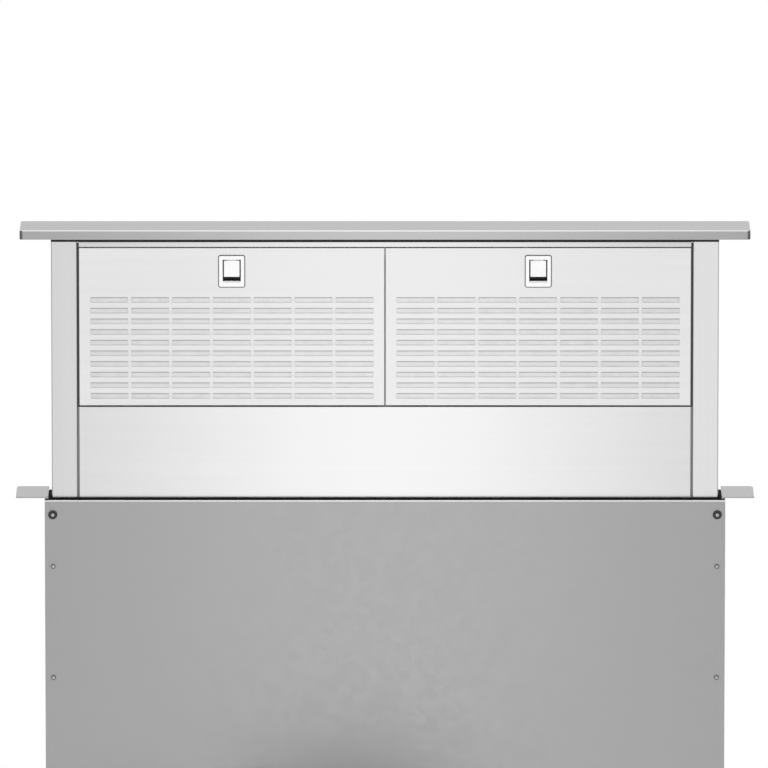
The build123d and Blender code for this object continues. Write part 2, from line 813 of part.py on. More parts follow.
motor_rounding = 6.0
motor_end_wall = 3.0
vent_count = 12
vent_length = 14.0
vent_width = 4.0
vent_depth = 6.0
vent_radius = 0.72 * blower_motor_radius
with BuildPart() as blower_motor:
    with BuildSketch(scroll_plane(motor_back)):
        Circle(blower_motor_radius)
    extrude(amount=blower_motor_length)
    fillet(blower_motor.edges().filter_by(GeomType.CIRCLE), motor_rounding)
    with BuildSketch(scroll_plane(motor_front - vent_depth)):
        with PolarLocations(vent_radius, vent_count):
            SlotOverall(vent_length, vent_width)
    extrude(amount=2 * vent_depth, mode=Mode.SUBTRACT)
    with BuildSketch(scroll_plane(motor_back)):
        Circle(motor_shaft_radius + shaft_clearance)
    extrude(amount=blower_motor_length - motor_end_wall, mode=Mode.SUBTRACT)
keep(blower_motor, "blower_motor")

arm_face = scroll_front + scroll_sheet
band_length = 16.0
bracket_sheet = 2.0
bracket_ring = 14.0
arm_width = 16.0
with BuildPart() as motor_bracket:
    with BuildSketch(scroll_plane(arm_face)):
        Circle(blower_motor_radius + bracket_ring)
        for angle in bracket_angles:
            x = bracket_radius / 2 * cos(radians(angle))
            y = bracket_radius / 2 * sin(radians(angle))
            with Locations(Location((x, y, 0), (0, 0, angle))):
                SlotOverall(bracket_radius + arm_width, arm_width)
        Circle(blower_motor_radius + seat_gap, mode=Mode.SUBTRACT)
        with PolarLocations(bracket_radius, len(bracket_angles), start_angle=bracket_angles[0]):
            Circle(bolt_hole, mode=Mode.SUBTRACT)
    extrude(amount=bracket_sheet)
    with BuildSketch(scroll_plane(arm_face)):
        Circle(blower_motor_radius + seat_gap + bracket_sheet)
        Circle(blower_motor_radius + seat_gap, mode=Mode.SUBTRACT)
    extrude(amount=band_length)
keep(motor_bracket, "motor_bracket")

capacitor_radius = 19.0
capacitor_length = 60.0
capacitor_gap = 1.5
capacitor_rounding = 3.0
capacitor_x = blower_plate_left + 30.0
capacitor_z = blower_plate_top - 44.0
clip_rise = 14.0
clip_half_width = 15.0
clip_half_height = 4.0
with BuildPart() as capacitor:
    capacitor_y = -(scroll_back + capacitor_radius + capacitor_gap)
    rod((capacitor_x, capacitor_y, capacitor_z), (0, 0, 1), capacitor_radius, capacitor_length)
    fillet(capacitor.edges().filter_by(GeomType.CIRCLE), capacitor_rounding)
    for z in (capacitor_z - clip_rise, capacitor_z + clip_rise):
        block(
            (capacitor_x - clip_half_width, capacitor_x + clip_half_width),
            (-scroll_back, -(scroll_back + capacitor_radius)),
            (z - clip_half_height, z + clip_half_height),
        )
keep(capacitor, "capacitor")

# ---------------------------------------------------------------- outlet collar and damper
collar_plate_half = 84.0
with BuildPart() as outlet_collar:
    block(
        (collar_x, collar_x + scroll_sheet),
        (-scroll_back, -scroll_front),
        (collar_z - collar_plate_half, collar_z + collar_plate_half),
    )
    rod((collar_x + collar_length / 2, collar_y, collar_z), (1, 0, 0), collar_radius, collar_length)
    collar_mouth = (collar_x, collar_y, collar_z)
    rod(collar_mouth, (1, 0, 0), collar_radius - collar_sheet, 4 * collar_length, Mode.SUBTRACT)
    pin_place = (damper_x, collar_y, collar_z)
    rod(pin_place, (0, 0, 1), damper_pin_radius + seat_gap, 4 * collar_radius, Mode.SUBTRACT)
keep(outlet_collar, "outlet_collar")

with BuildPart() as damper_pin:
    rod((damper_x, collar_y, collar_z), (0, 0, 1), damper_pin_radius, 2 * (collar_radius - seat_gap))
keep(damper_pin, "damper_pin")

flap_radius = collar_radius - collar_sheet - flap_gap
knuckle_wall = 1.2
knuckle_gap = 1.0  # between neighbouring knuckles
flap_pin_gap = 0.5
flap_root = 2.0  # strip that joins a knuckle to its flap
knuckle_radius = damper_pin_radius + knuckle_wall
knuckle_pitch = flap_radius / 2
knuckle_length = knuckle_pitch - knuckle_gap
knuckle_order = (-3, 1), (-1, 3)


def damper_flap(face, label, knuckles):
    """Half-round flap that folds about the pin, with two knuckles."""
    with BuildPart() as flap:
        with BuildSketch(Plane(origin=(damper_x, collar_y, collar_z), x_dir=(0, 1, 0), z_dir=(1, 0, 0))):
            Circle(flap_radius)
            reach = face * (knuckle_radius + flap_pin_gap)
            with Locations((reach - face * 2 * flap_radius, 0)):
                Rectangle(4 * flap_radius, 4 * flap_radius, mode=Mode.SUBTRACT)
        extrude(amount=flap_sheet / 2, both=True)
        for place in knuckles:
            z = collar_z + place * knuckle_pitch / 2
            rod((damper_x, collar_y, z), (0, 0, 1), knuckle_radius, knuckle_length)
            block(
                (damper_x - flap_sheet / 2, damper_x + flap_sheet / 2),
                (collar_y, collar_y + face * (knuckle_radius + flap_root)),
                (z - knuckle_length / 2, z + knuckle_length / 2),
            )
        rod(
            (damper_x, collar_y, collar_z),
            (0, 0, 1),
            damper_pin_radius + shaft_clearance,
            4 * collar_radius,
            Mode.SUBTRACT,
        )
    keep(flap, label)


damper_flap(front, "damper_flap_front", knuckle_order[0])
damper_flap(back, "damper_flap_back", knuckle_order[1])

# ---------------------------------------------------------------- control box
box_left = box_x - box_width / 2
box_right = box_x + box_width / 2
box_bottom = box_z - box_height / 2
box_top = box_z + box_height / 2
box_front = housing_face + box_depth
gland_z = box_z + gland_rise
gland_y = -(housing_face + box_depth / 2)
box_corner = 3.0
with BuildPart() as control_box:
    block((box_left, box_right), (-housing_face, -box_front), (box_bottom, box_top))
    fillet(control_box.edges().filter_by(Axis.Y), box_corner)
    block(
        (box_left + housing_sheet, box_right - housing_sheet),
        (-housing_face - housing_sheet, -box_front),
        (box_bottom + housing_sheet, box_top - housing_sheet),
        Mode.SUBTRACT,
    )
    rod((box_right + gland_length / 2, gland_y, gland_z), (1, 0, 0), gland_radius, gland_length)
    rod((box_right, gland_y, gland_z), (1, 0, 0), gland_bore, 4 * gland_length, Mode.SUBTRACT)
keep(control_box, "control_box")

cover_margin = 1.5  # cover beyond the box, all round
cover_corner = 4.0
cover_screw_inset = 8.0
cover_screw = pan_screw(screw_head_radius, screw_head_height, panel_screw_radius, housing_sheet / 2)
with BuildPart() as control_box_cover:
    block(
        (box_left - cover_margin, box_right + cover_margin),
        (-box_front, -box_front - housing_sheet),
        (box_bottom - cover_margin, box_top + cover_margin),
    )
    fillet(control_box_cover.edges().filter_by(Axis.Y), cover_corner)
    cover_middle = (box_x, -box_front - housing_sheet, box_z)
    with Locations(Plane(origin=cover_middle, x_dir=(1, 0, 0), z_dir=(0, -1, 0))):
        with GridLocations(box_width - 2 * cover_screw_inset, box_height - 2 * cover_screw_inset, 2, 2):
            add(cover_screw)
keep(control_box_cover, "control_box_cover")

board_width = box_width - 2 * (housing_sheet + board_margin)
board_height = box_height - 2 * (housing_sheet + board_margin)
board_back = housing_face + housing_sheet + board_standoff
board_plane = Plane(origin=(box_x, -board_back, box_z), x_dir=(1, 0, 0), z_dir=(0, -1, 0))
transformer_side = 42.0
transformer_height = 0.55 * transformer_side
relay_count = 4
relay_width = 16.0
relay_depth = 0.75 * relay_width
relay_pitch = 1.5 * relay_width
terminal_height = 12.0
terminal_length = 0.7 * board_width
with BuildPart() as control_board:
    with BuildSketch(board_plane):
        Rectangle(board_width, board_height)
    extrude(amount=board_thickness)
    with BuildSketch(board_plane):
        with GridLocations(board_width - 2 * standoff_inset, board_height - 2 * standoff_inset, 2, 2):
            Circle(standoff_radius)
    extrude(amount=-board_standoff)
    with BuildSketch(board_plane.offset(board_thickness)):
        with Locations((-board_width / 2 + transformer_side, board_height / 2 - transformer_side)):
            Rectangle(transformer_side, transformer_side)
    extrude(amount=transformer_height)
    with BuildSketch(board_plane.offset(board_thickness)):
        with GridLocations(relay_pitch, relay_width, relay_count, 1):
            Rectangle(relay_width, relay_depth)
        with Locations((0, -board_height / 2 + 2 * terminal_height)):
            Rectangle(terminal_length, terminal_height)
    extrude(amount=terminal_height)
keep(control_board, "control_board")

# ---------------------------------------------------------------- support legs and bolts
leg_slot_spare = 4.0  # slot beyond the bolt, both ends together
leg_slot_play = 0.8
leg_slot_length = 2 * leg_adjust + 2 * leg_bolt_radius + leg_slot_spare
leg_outer = half_housing + seat_gap + leg_sheet


def support_leg(side):
    """Strap with two long slots, turned in at the foot for screws into the cupboard floor."""
    with BuildPart() as leg:
        block(
            (side * (half_housing + seat_gap), side * leg_outer),
            (-leg_width / 2, leg_width / 2),
            (leg_foot_z, leg_top_z),
        )
        block(
            (side * leg_outer, side * (leg_outer - leg_foot)),
            (-leg_width / 2, leg_width / 2),
            (leg_foot_z, leg_foot_z + leg_sheet),
        )
        for z in leg_bolt_z:
            with BuildSketch(Plane(origin=(side * leg_outer, 0, z), x_dir=(0, 0, 1), z_dir=(1, 0, 0))):
                SlotOverall(leg_slot_length, 2 * leg_bolt_radius + leg_slot_play)
            extrude(amount=3 * leg_sheet, both=True, mode=Mode.SUBTRACT)
        for y in (-leg_width / 4, leg_width / 4):
            foot_hole = (side * (leg_outer - leg_foot / 2), y, leg_foot_z)
            rod(foot_hole, (0, 0, 1), foot_hole_radius, 4 * leg_sheet, Mode.SUBTRACT)
    keep(leg, f"support_leg_{side_name(side)}")


support_leg(left)
support_leg(right)

leg_bolt_length = leg_sheet + 2 * housing_sheet + bolt_overhang
with BuildPart() as hex_bolts:
    bolt = hex_bolt(bolt_flats, bolt_head, leg_bolt_radius, leg_bolt_length)
    for side in (left, right):
        for z in leg_bolt_z:
            with Locations(Plane(origin=(side * leg_outer, 0, z), z_dir=(side, 0, 0))):
                add(bolt)
    for x, z in blower_bolts:
        with Locations(Plane(origin=(x, -scroll_back, z), x_dir=(1, 0, 0), z_dir=(0, -1, 0))):
            add(bolt)
    for angle in bracket_angles:
        place = (
            blower_x + bracket_radius * cos(radians(angle)),
            -(arm_face + bracket_sheet),
            blower_z + bracket_radius * sin(radians(angle)),
        )
        with Locations(Plane(origin=place, x_dir=(1, 0, 0), z_dir=(0, -1, 0))):
            add(bolt)
keep(hex_bolts, "hex_bolts")

# ---------------------------------------------------------------- tower frame
column_corner = 1.6


def tower_column(side):
    """Folded post, closed all round, that the lead screw enters as the tower sinks."""
    with BuildPart() as column:
        with BuildSketch(Plane.XY.offset(tower_foot)):
            with Locations((side * column_middle, 0)):
                RectangleRounded(column_width, tower_depth, column_corner)
                RectangleRounded(
                    column_width - 2 * tower_sheet,
                    tower_depth - 2 * tower_sheet,
                    column_corner - tower_sheet,
                    mode=Mode.SUBTRACT,
                )
        extrude(amount=tower_head - tower_foot)
    keep(column, f"tower_column_{side_name(side)}")


tower_column(left)
tower_column(right)

channel_half = column_inner - seat_gap
rail_lower_edge = tower_head - top_rail_height
channel_drop = 14.0  # top rail's lower edge to the channel's inner lips
channel_foot = rail_lower_edge - channel_drop
channel_rounding = 0.8
hat_end_inset = 5.0
hat_floor_inset = 4.0
hat_floor = 0.6  # hat's floor above the channel's top
hat_root = 0.5  # hat's folds below the channel's top
hat_fold = 1.0
hat_half_x = half_tower - hat_end_inset
hat_half_y = half_depth - hat_inset
cap_screw_count = 6
cap_screw_end = 20.0  # hat's end to the first screw
cap_screw_pitch = 2 * (hat_half_x - cap_screw_end) / (cap_screw_count - 1)
cap_screw_x = [-hat_half_x + cap_screw_end + i * cap_screw_pitch for i in range(cap_screw_count)]
cap_screw_inset = 2.8
cap_screw_y = hat_half_y - cap_screw_inset
cap_screw_radius = 1.1
cap_screw_length = 3.0
cap_screw_head_radius = 1.7
cap_screw_head_height = 1.0


def cap_screw_holes():
    """Holes for the cap screws, through whatever lies at the cap's underside."""
    for x in cap_screw_x:
        for face in (front, back):
            place = (x, face * cap_screw_y, rise)
            rod(place, (0, 0, 1), cap_screw_radius + seat_gap, 4 * cap_sheet, Mode.SUBTRACT)


with BuildPart() as tower_top_channel:
    block((-channel_half, channel_half), (-half_depth, half_depth), (tower_head - tower_sheet, tower_head))
    block(
        (-channel_half, channel_half),
        (-half_depth, -half_depth + tower_sheet),
        (rail_lower_edge, tower_head),
    )
    block((-channel_half, channel_half), (half_depth, half_depth - tower_sheet), (channel_foot, tower_head))
    block((-channel_half, channel_half), (-seat_front, -seat_front + tower_sheet), (channel_foot, tower_head))
    fillet(
        tower_top_channel.edges().filter_by(Axis.X).filter_by(
            lambda e: abs(e.center().Z - tower_head) < near and abs(abs(e.center().Y) - half_depth) < near
        ),
        channel_rounding,
    )
    for side in (left, right):
        block(
            (side * panel_edge, side * column_inner),
            (-half_depth, -half_depth + tower_sheet),
            (rail_lower_edge, tower_head),
            Mode.SUBTRACT,
        )
    block((-hat_half_x, hat_half_x), (-hat_half_y, hat_half_y), (tower_head + seat_gap, rise - seat_gap))
    block(
        (-hat_half_x + tower_sheet, hat_half_x - tower_sheet),
        (-hat_half_y + tower_sheet, hat_half_y - tower_sheet),
        (tower_head, rise - seat_gap - tower_sheet),
        Mode.SUBTRACT,
    )
    block(
        (-channel_half, channel_half),
        (-hat_half_y + hat_floor_inset, hat_half_y - hat_floor_inset),
        (tower_head - hat_root, tower_head + hat_floor),
    )
    for face in (front, back):
        block(
            (-channel_half, channel_half),
            (face * hat_half_y, face * (hat_half_y - tower_sheet)),
            (tower_head - hat_root, tower_head + hat_fold),
        )
    cap_screw_holes()
keep(tower_top_channel, "tower_top_channel")

with BuildPart() as cap_screws:
    cap_screw = pan_screw(cap_screw_head_radius, cap_screw_head_height, cap_screw_radius, cap_screw_length)
    for x in cap_screw_x:
        for face in (front, back):
            seat = (x, face * cap_screw_y, rise - seat_gap - tower_sheet)
            with Locations(Plane(origin=seat, x_dir=(1, 0, 0), z_dir=(0, 0, -1))):
                add(cap_screw)
keep(cap_screws, "cap_screws")

gasket_side_gap = 0.2
gasket_corner = 1.5
with BuildPart() as cap_gasket:
    with BuildSketch(Plane.XY.offset(tower_head + seat_gap)):
        Rectangle(tower_width, tower_depth)
        Rectangle(2 * (hat_half_x + gasket_side_gap), 2 * (hat_half_y + gasket_side_gap), mode=Mode.SUBTRACT)
    extrude(amount=gasket_height - 2 * seat_gap)
    fillet(cap_gasket.edges().filter_by(Axis.Z).group_by(Axis.X)[0], gasket_corner)
    fillet(cap_gasket.edges().filter_by(Axis.Z).group_by(Axis.X)[-1], gasket_corner)
keep(cap_gasket, "cap_gasket")

cap_return = 16.0
cap_corner = 4.5
cap_upper_edge = 1.2
cap_lower_edge = 0.6
with BuildPart() as top_cap:
    with BuildSketch(Plane.XY.offset(rise)):
        RectangleRounded(cap_width, cap_depth, cap_corner)
    extrude(amount=cap_height)
    fillet(top_cap.edges().group_by(Axis.Z)[-1], cap_upper_edge)
    fillet(top_cap.edges().group_by(Axis.Z)[0], cap_lower_edge)
    with BuildSketch(Plane.XY.offset(rise + cap_sheet)):
        RectangleRounded(cap_width - 2 * cap_sheet, cap_depth - 2 * cap_sheet, cap_corner - cap_sheet)
    extrude(amount=cap_height - 2 * cap_sheet, mode=Mode.SUBTRACT)
    with BuildSketch(Plane.XY.offset(rise)):
        Rectangle(cap_width - 2 * cap_return, cap_depth - 2 * cap_return)
    extrude(amount=cap_sheet * 2, mode=Mode.SUBTRACT)
    cap_screw_holes()
keep(top_cap, "top_cap")

# lower panel: its top is the sill that the filters stand on
lug_width = 16.0
lug_thickness = 1.0
lug_inset = 1.5  # filter mesh's front to the lug's
lug_front = mesh_front - lug_inset
lug_depth = 2.0
lug_offset = 0.32 * filter_width
lug_side_play = 0.6
lug_front_play = 0.5
lug_back_play = 2.4  # room for the lug to rock as the filter tips
lug_slot_depth = 4.0
lug_places = [side * (filter_middle + i * lug_offset) for side in (left, right) for i in (-1, 1)]
sill_depth = 11.0
sill_lip = 9.0
sill_rounding = 0.8
panel_return = 5.0
with BuildPart() as lower_front_panel:
    block((-panel_edge, panel_edge), (-face_front, -face_back), (tower_foot, sill_height))
    block(
        (-panel_edge, panel_edge),
        (-face_front, -face_front + sill_depth),
        (sill_height - tower_sheet, sill_height),
    )
    block(
        (-panel_edge, panel_edge),
        (-face_front + sill_depth - tower_sheet, -face_front + sill_depth),
        (sill_height - sill_lip, sill_height),
    )
    for side in (left, right):
        block(
            (side * panel_edge, side * (panel_edge - tower_sheet)),
            (-face_front, -face_front + panel_return),
            (tower_foot, sill_height),
        )
        block(
            (side * (panel_edge - tower_sheet), side * channel_half),
            (-face_front + panel_return - tower_sheet, -face_front + panel_return),
            (tower_foot, sill_height - tower_sheet),
        )
        block(
            (side * (channel_half - tower_sheet), side * channel_half),
            (-face_front + panel_return - tower_sheet, -face_front + tie_depth),
            (tower_foot, sill_height - tower_sheet),
        )
    fillet(
        lower_front_panel.edges().filter_by(Axis.X).filter_by(
            lambda e: abs(e.center().Z - sill_height) < near and abs(e.center().Y + face_front) < near
        ),
        sill_rounding,
    )
    for x in lug_places:
        block(
            (x - lug_width / 2 - lug_side_play, x + lug_width / 2 + lug_side_play),
            (-lug_front - lug_front_play, -lug_front + lug_thickness + lug_back_play),
            (sill_height - lug_slot_depth, sill_height + tower_sheet),
            Mode.SUBTRACT,
        )
keep(lower_front_panel, "lower_front_panel")

rear_panel_gap = 1.0  # rear panel's top to the channel's lip
with BuildPart() as rear_panel:
    block((-channel_half, channel_half), (face_front, face_back), (tower_foot, channel_foot - rear_panel_gap))
    for side in (left, right):
        block(
            (side * channel_half, side * (channel_half - tower_sheet)),
            (face_front, face_front - tie_depth),
            (tower_foot, channel_foot - rear_panel_gap),
        )
keep(rear_panel, "rear_panel")

bottom_frame_height = 3.0
bottom_frame_end = 30.0
bottom_frame_side = 7.0
with BuildPart() as tower_bottom_frame:
    tie_inner = channel_half - tower_sheet - seat_gap
    with BuildSketch(Plane.XY.offset(tower_foot)):
        Rectangle(2 * tie_inner, 2 * (face_back - seat_gap))
        Rectangle(2 * (tie_inner - bottom_frame_end), 2 * (face_back - bottom_frame_side), mode=Mode.SUBTRACT)
    extrude(amount=bottom_frame_height)
    for side in (left, right):
        block(
            (side * (panel_edge - tower_sheet - seat_gap), side * half_tower),
            (-half_depth, -face_front + panel_return + seat_gap),
            (tower_foot, tower_foot + bottom_frame_height),
            Mode.SUBTRACT,
        )
keep(tower_bottom_frame, "tower_bottom_frame")

nut_inset = tower_sheet + seat_gap
nut_corner = 1.2
with BuildPart() as lift_nuts:
    for side in (left, right):
        nut_middle = (side * column_middle, 0, tower_foot + nut_height / 2)
        with Locations(nut_middle):
            Box(column_width - 2 * nut_inset, tower_depth - 2 * nut_inset, nut_height)
    fillet(lift_nuts.edges().filter_by(Axis.Z), nut_corner)
    for side in (left, right):
        nut_middle = (side * column_middle, 0, tower_foot + nut_height / 2)
        rod(nut_middle, (0, 0, 1), lead_screw_radius + shaft_clearance, 2 * nut_height, Mode.SUBTRACT)
keep(lift_nuts, "lift_nuts")

shoe_outer = web_inside - seat_gap - rail_sheet - running_gap
shoe_half = rail_depth_half - rail_sheet - running_gap
shoe_chamfer = 1.2
with BuildPart() as guide_shoes:
    for side in (left, right):
        block(
            (side * half_tower, side * shoe_outer),
            (-shoe_half, shoe_half),
            (tower_foot, tower_foot + shoe_height),
        )
    long_edges = guide_shoes.edges().filter_by(Axis.Y)
    chamfer(long_edges.filter_by(lambda e: abs(e.center().X) > shoe_outer - near), shoe_chamfer)
keep(guide_shoes, "guide_shoes")

mullion_half = 9.0
seat_flange = 13.0
seat_end_gap = 0.5  # seat to the sill and to the channel's lip
seat_back = 4.0
seat_top = channel_foot - seat_end_gap
with BuildPart() as filter_seats:
    for side in (left, right):
        block(
            (side * channel_half, side * (channel_half - seat_flange)),
            (-seat_front, -seat_front + tower_sheet),
            (sill_height + seat_end_gap, seat_top),
        )
        block(
            (side * channel_half, side * (channel_half - tower_sheet)),
            (-seat_front, seat_back),
            (sill_height + seat_end_gap, seat_top),
        )
    block(
        (-mullion_half, mullion_half),
        (-seat_front, -seat_front + tower_sheet),
        (sill_height + seat_gap, seat_top),
    )
    block(
        (-tower_sheet / 2, tower_sheet / 2),
        (-seat_front, face_back - seat_gap),
        (sill_height + seat_gap, seat_top),
    )
keep(filter_seats, "filter_seats")

# ---------------------------------------------------------------- filters and latches
slot_pitch = slot_length + slot_bridge
slot_field_z = filter_bottom + slot_lowest + ((slot_rows - 1) * slot_row_pitch + slot_height) / 2
tray_lip = 9.0
tray_corner = 0.7  # the filter tips about the centre of its lower front corner
cutout_gap = 0.15
tongue_side_play = 1.0
tongue_play = 0.6
tongue_slot_depth = 3.0
lug_shoulder = 5.0  # root of a lug beyond its side, each end
bezel_seat = 0.05  # bezel's frame to the filter's face
bezel_rounding = 0.4
ramp_foot = 0.3
ramp_run = 4.5
cup_overlap = 0.1  # ramp let into the cup's walls
cup_slot_play = 0.25
button_proud = 0.3
button_rounding = 0.8
carriage_inset = 2.0
carriage_rise = 2.5  # button's lower edge to the carriage
carriage_drop = 3.0
tongue_root = 1.0
tongue_chamfer = 0.8
spring_wall = 0.5
spring_back_gap = 0.4


def filter_face(side):
    """Folded steel tray with the grille's slots, the latch's cut-out and two locating lugs."""
    middle = side * filter_middle
    edge = filter_width / 2
    with BuildPart() as face:
        block((middle - edge, middle + edge), (-face_front, -filter_rear), (filter_bottom, filter_top))
        fillet(face.edges().group_by(Axis.Y)[0], tray_corner)
        block(
            (middle - edge + tower_sheet, middle + edge - tower_sheet),
            (-face_back, -filter_rear - tower_sheet),
            (filter_bottom + tower_sheet, filter_top - tower_sheet),
            Mode.SUBTRACT,
        )
        block(
            (middle - edge + tray_lip, middle + edge - tray_lip),
            (-face_back, 0),
            (filter_bottom + tray_lip, filter_top - tray_lip),
            Mode.SUBTRACT,
        )
        slot_field = (middle, -face_front, slot_field_z)
        with BuildSketch(Plane(origin=slot_field, x_dir=(1, 0, 0), z_dir=(0, -1, 0))):
            with GridLocations(slot_pitch, slot_row_pitch, slot_columns, slot_rows):
                RectangleRounded(slot_length, slot_height, slot_corner)
        extrude(amount=3 * tower_sheet, both=True, mode=Mode.SUBTRACT)
        cutout_half = window_width / 2 + latch_wall + cutout_gap
        block(
            (middle - cutout_half, middle + cutout_half),
            (-face_front - tower_sheet, -face_back + tower_sheet),
            (window_bottom - latch_wall - cutout_gap, window_top + latch_wall + cutout_gap),
            Mode.SUBTRACT,
        )
        block(
            (middle - tongue_width / 2 - tongue_side_play, middle + tongue_width / 2 + tongue_side_play),
            (-tongue_front - tongue_play, -tongue_front + tongue_thickness + tongue_play),
            (filter_top - tongue_slot_depth, filter_top + tower_sheet),
            Mode.SUBTRACT,
        )
        for x in [place for place in lug_places if place * side > 0]:
            block(
                (x - lug_width / 2 - lug_shoulder, x + lug_width / 2 + lug_shoulder),
                (-lug_front, -lug_front + lug_thickness),
                (sill_height + running_gap, filter_bottom + tower_sheet),
            )
            block(
                (x - lug_width / 2, x + lug_width / 2),
                (-lug_front, -lug_front + lug_thickness),
                (sill_height - lug_depth, filter_bottom + tower_sheet),
            )
    keep(face, f"filter_face_{side_name(side)}")


def filter_mesh(side):
    """Pleated aluminium mesh behind the slots, held by the tray's rear lips and notched round the latch."""
    middle = side * filter_middle
    edge = filter_width / 2 - tower_sheet - seat_gap
    notch = window_width / 2 + latch_wall + mesh_margin
    mesh_bottom = filter_bottom + tower_sheet + seat_gap
    folds = 2 * mesh_pleats
    front_line = [
        (middle - edge + i * edge / mesh_pleats, -mesh_back - mesh_sheet if i % 2 else -mesh_front)
        for i in range(folds + 1)
    ]
    back_line = [(x, y + mesh_sheet) for x, y in reversed(front_line)]
    with BuildPart() as mesh:
        with BuildSketch(Plane.XY.offset(mesh_bottom)):
            with BuildLine():
                Polyline(*front_line, *back_line, close=True)
            make_face()
        extrude(amount=filter_top - tower_sheet - seat_gap - mesh_bottom)
        block(
            (middle - notch, middle + notch),
            (-mesh_front, -mesh_back),
            (window_bottom - latch_wall - mesh_margin, filter_top),
            Mode.SUBTRACT,
        )
    keep(mesh, f"filter_mesh_{side_name(side)}")


def latch_bezel(side):
    """Cup with a frame round its mouth, a floor ramp for the fingertip and a slot for the tongue."""
    middle = side * filter_middle
    with BuildPart() as bezel:
        frame_back = (middle, -face_front - bezel_seat, latch_z)
        with BuildSketch(Plane(origin=frame_back, x_dir=(1, 0, 0), z_dir=(0, -1, 0))):
            RectangleRounded(bezel_width, bezel_height, bezel_corner)
        extrude(amount=bezel_proud - bezel_seat)
        fillet(bezel.edges().group_by(Axis.Y)[0], bezel_rounding)
        block(
            (middle - window_width / 2 - latch_wall, middle + window_width / 2 + latch_wall),
            (-face_front - bezel_seat, -latch_rear),
            (window_bottom - latch_wall, window_top + latch_wall),
        )
        block(
            (middle - window_width / 2, middle + window_width / 2),
            (-latch_face - bezel_proud, -latch_floor),
            (window_bottom, window_top),
            Mode.SUBTRACT,
        )
        with BuildSketch(Plane(origin=(middle, 0, 0), x_dir=(0, 1, 0), z_dir=(1, 0, 0))):
            with BuildLine():
                Polyline(
                    (-face_front, window_bottom - cup_overlap),
                    (-face_front, window_bottom + ramp_foot),
                    (-face_front + ramp_run, ramp_top),
                    (-latch_floor + cup_overlap, ramp_top),
                    (-latch_floor + cup_overlap, window_bottom - cup_overlap),
                    close=True,
                )
            make_face()
        extrude(amount=window_width / 2 + cup_overlap, both=True)
        block(
            (middle - tongue_width / 2 - 2 * cup_slot_play, middle + tongue_width / 2 + 2 * cup_slot_play),
            (-tongue_front - cup_slot_play, -tongue_front + tongue_thickness + cup_slot_play),
            (window_top - latch_wall / 2, window_top + 2 * latch_wall),
            Mode.SUBTRACT,
        )
    keep(bezel, f"latch_bezel_{side_name(side)}")


def latch_slider(side):
    """Fingertip button with the tongue that catches behind the tower's top rail."""
    middle = side * filter_middle
    button_front = face_front + button_proud
    carriage_back = latch_floor + running_gap
    with BuildPart() as slider:
        block(
            (middle - button_width / 2, middle + button_width / 2),
            (-button_front, -button_front + button_thickness),
            (button_bottom, button_top),
        )
        fillet(slider.edges().group_by(Axis.Y)[0], button_rounding)
        block(
            (middle - button_width / 2 + carriage_inset, middle + button_width / 2 - carriage_inset),
            (-button_front + button_thickness, -carriage_back),
            (button_bottom + carriage_rise, button_top - carriage_drop),
        )
        block(
            (middle - tongue_width / 2, middle + tongue_width / 2),
            (-tongue_front, -tongue_front + tongue_thickness),
            (button_top - tongue_root, tongue_top),
        )
        chamfer(slider.edges().group_by(Axis.Z)[-1].filter_by(Axis.X).sort_by(Axis.Y)[0], tongue_chamfer)
    keep(slider, f"latch_slider_{side_name(side)}")


def latch_spring(side):
    """Compression spring under the slider's carriage, drawn as a thin sleeve of its outer size."""
    spring_top = button_bottom + carriage_rise
    spring_length = spring_top - ramp_top
    spring_y = -(latch_floor + latch_spring_radius + spring_back_gap)
    spring_middle = (side * filter_middle, spring_y, ramp_top + spring_length / 2)
    with BuildPart() as spring:
        rod(spring_middle, (0, 0, 1), latch_spring_radius, spring_length)
        rod(spring_middle, (0, 0, 1), latch_spring_radius - spring_wall, 2 * spring_length, Mode.SUBTRACT)
    keep(spring, f"latch_spring_{side_name(side)}")


for filter_side in (left, right):
    filter_face(filter_side)
    filter_mesh(filter_side)
    latch_bezel(filter_side)
    latch_slider(filter_side)
    latch_spring(filter_side)

print(f"travel {travel:.1f} mm, lead screws {2 * column_middle:.1f} mm apart, foot at {tower_foot:.1f} mm")
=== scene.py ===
# %% [markdown]
# # A retractable downdraft vent
# A slim steel tower has risen out of a slot in a worktop. Two slotted filters face the cook, a white
# fingertip catch holds each one, and a flat cap closes the slot when the tower goes down. The metal frame
# comes ready made, at its real size in metres. This script gives it its finishes, adds the pieces that are
# too fine for the frame, and sets the light and the camera.

import json
import math

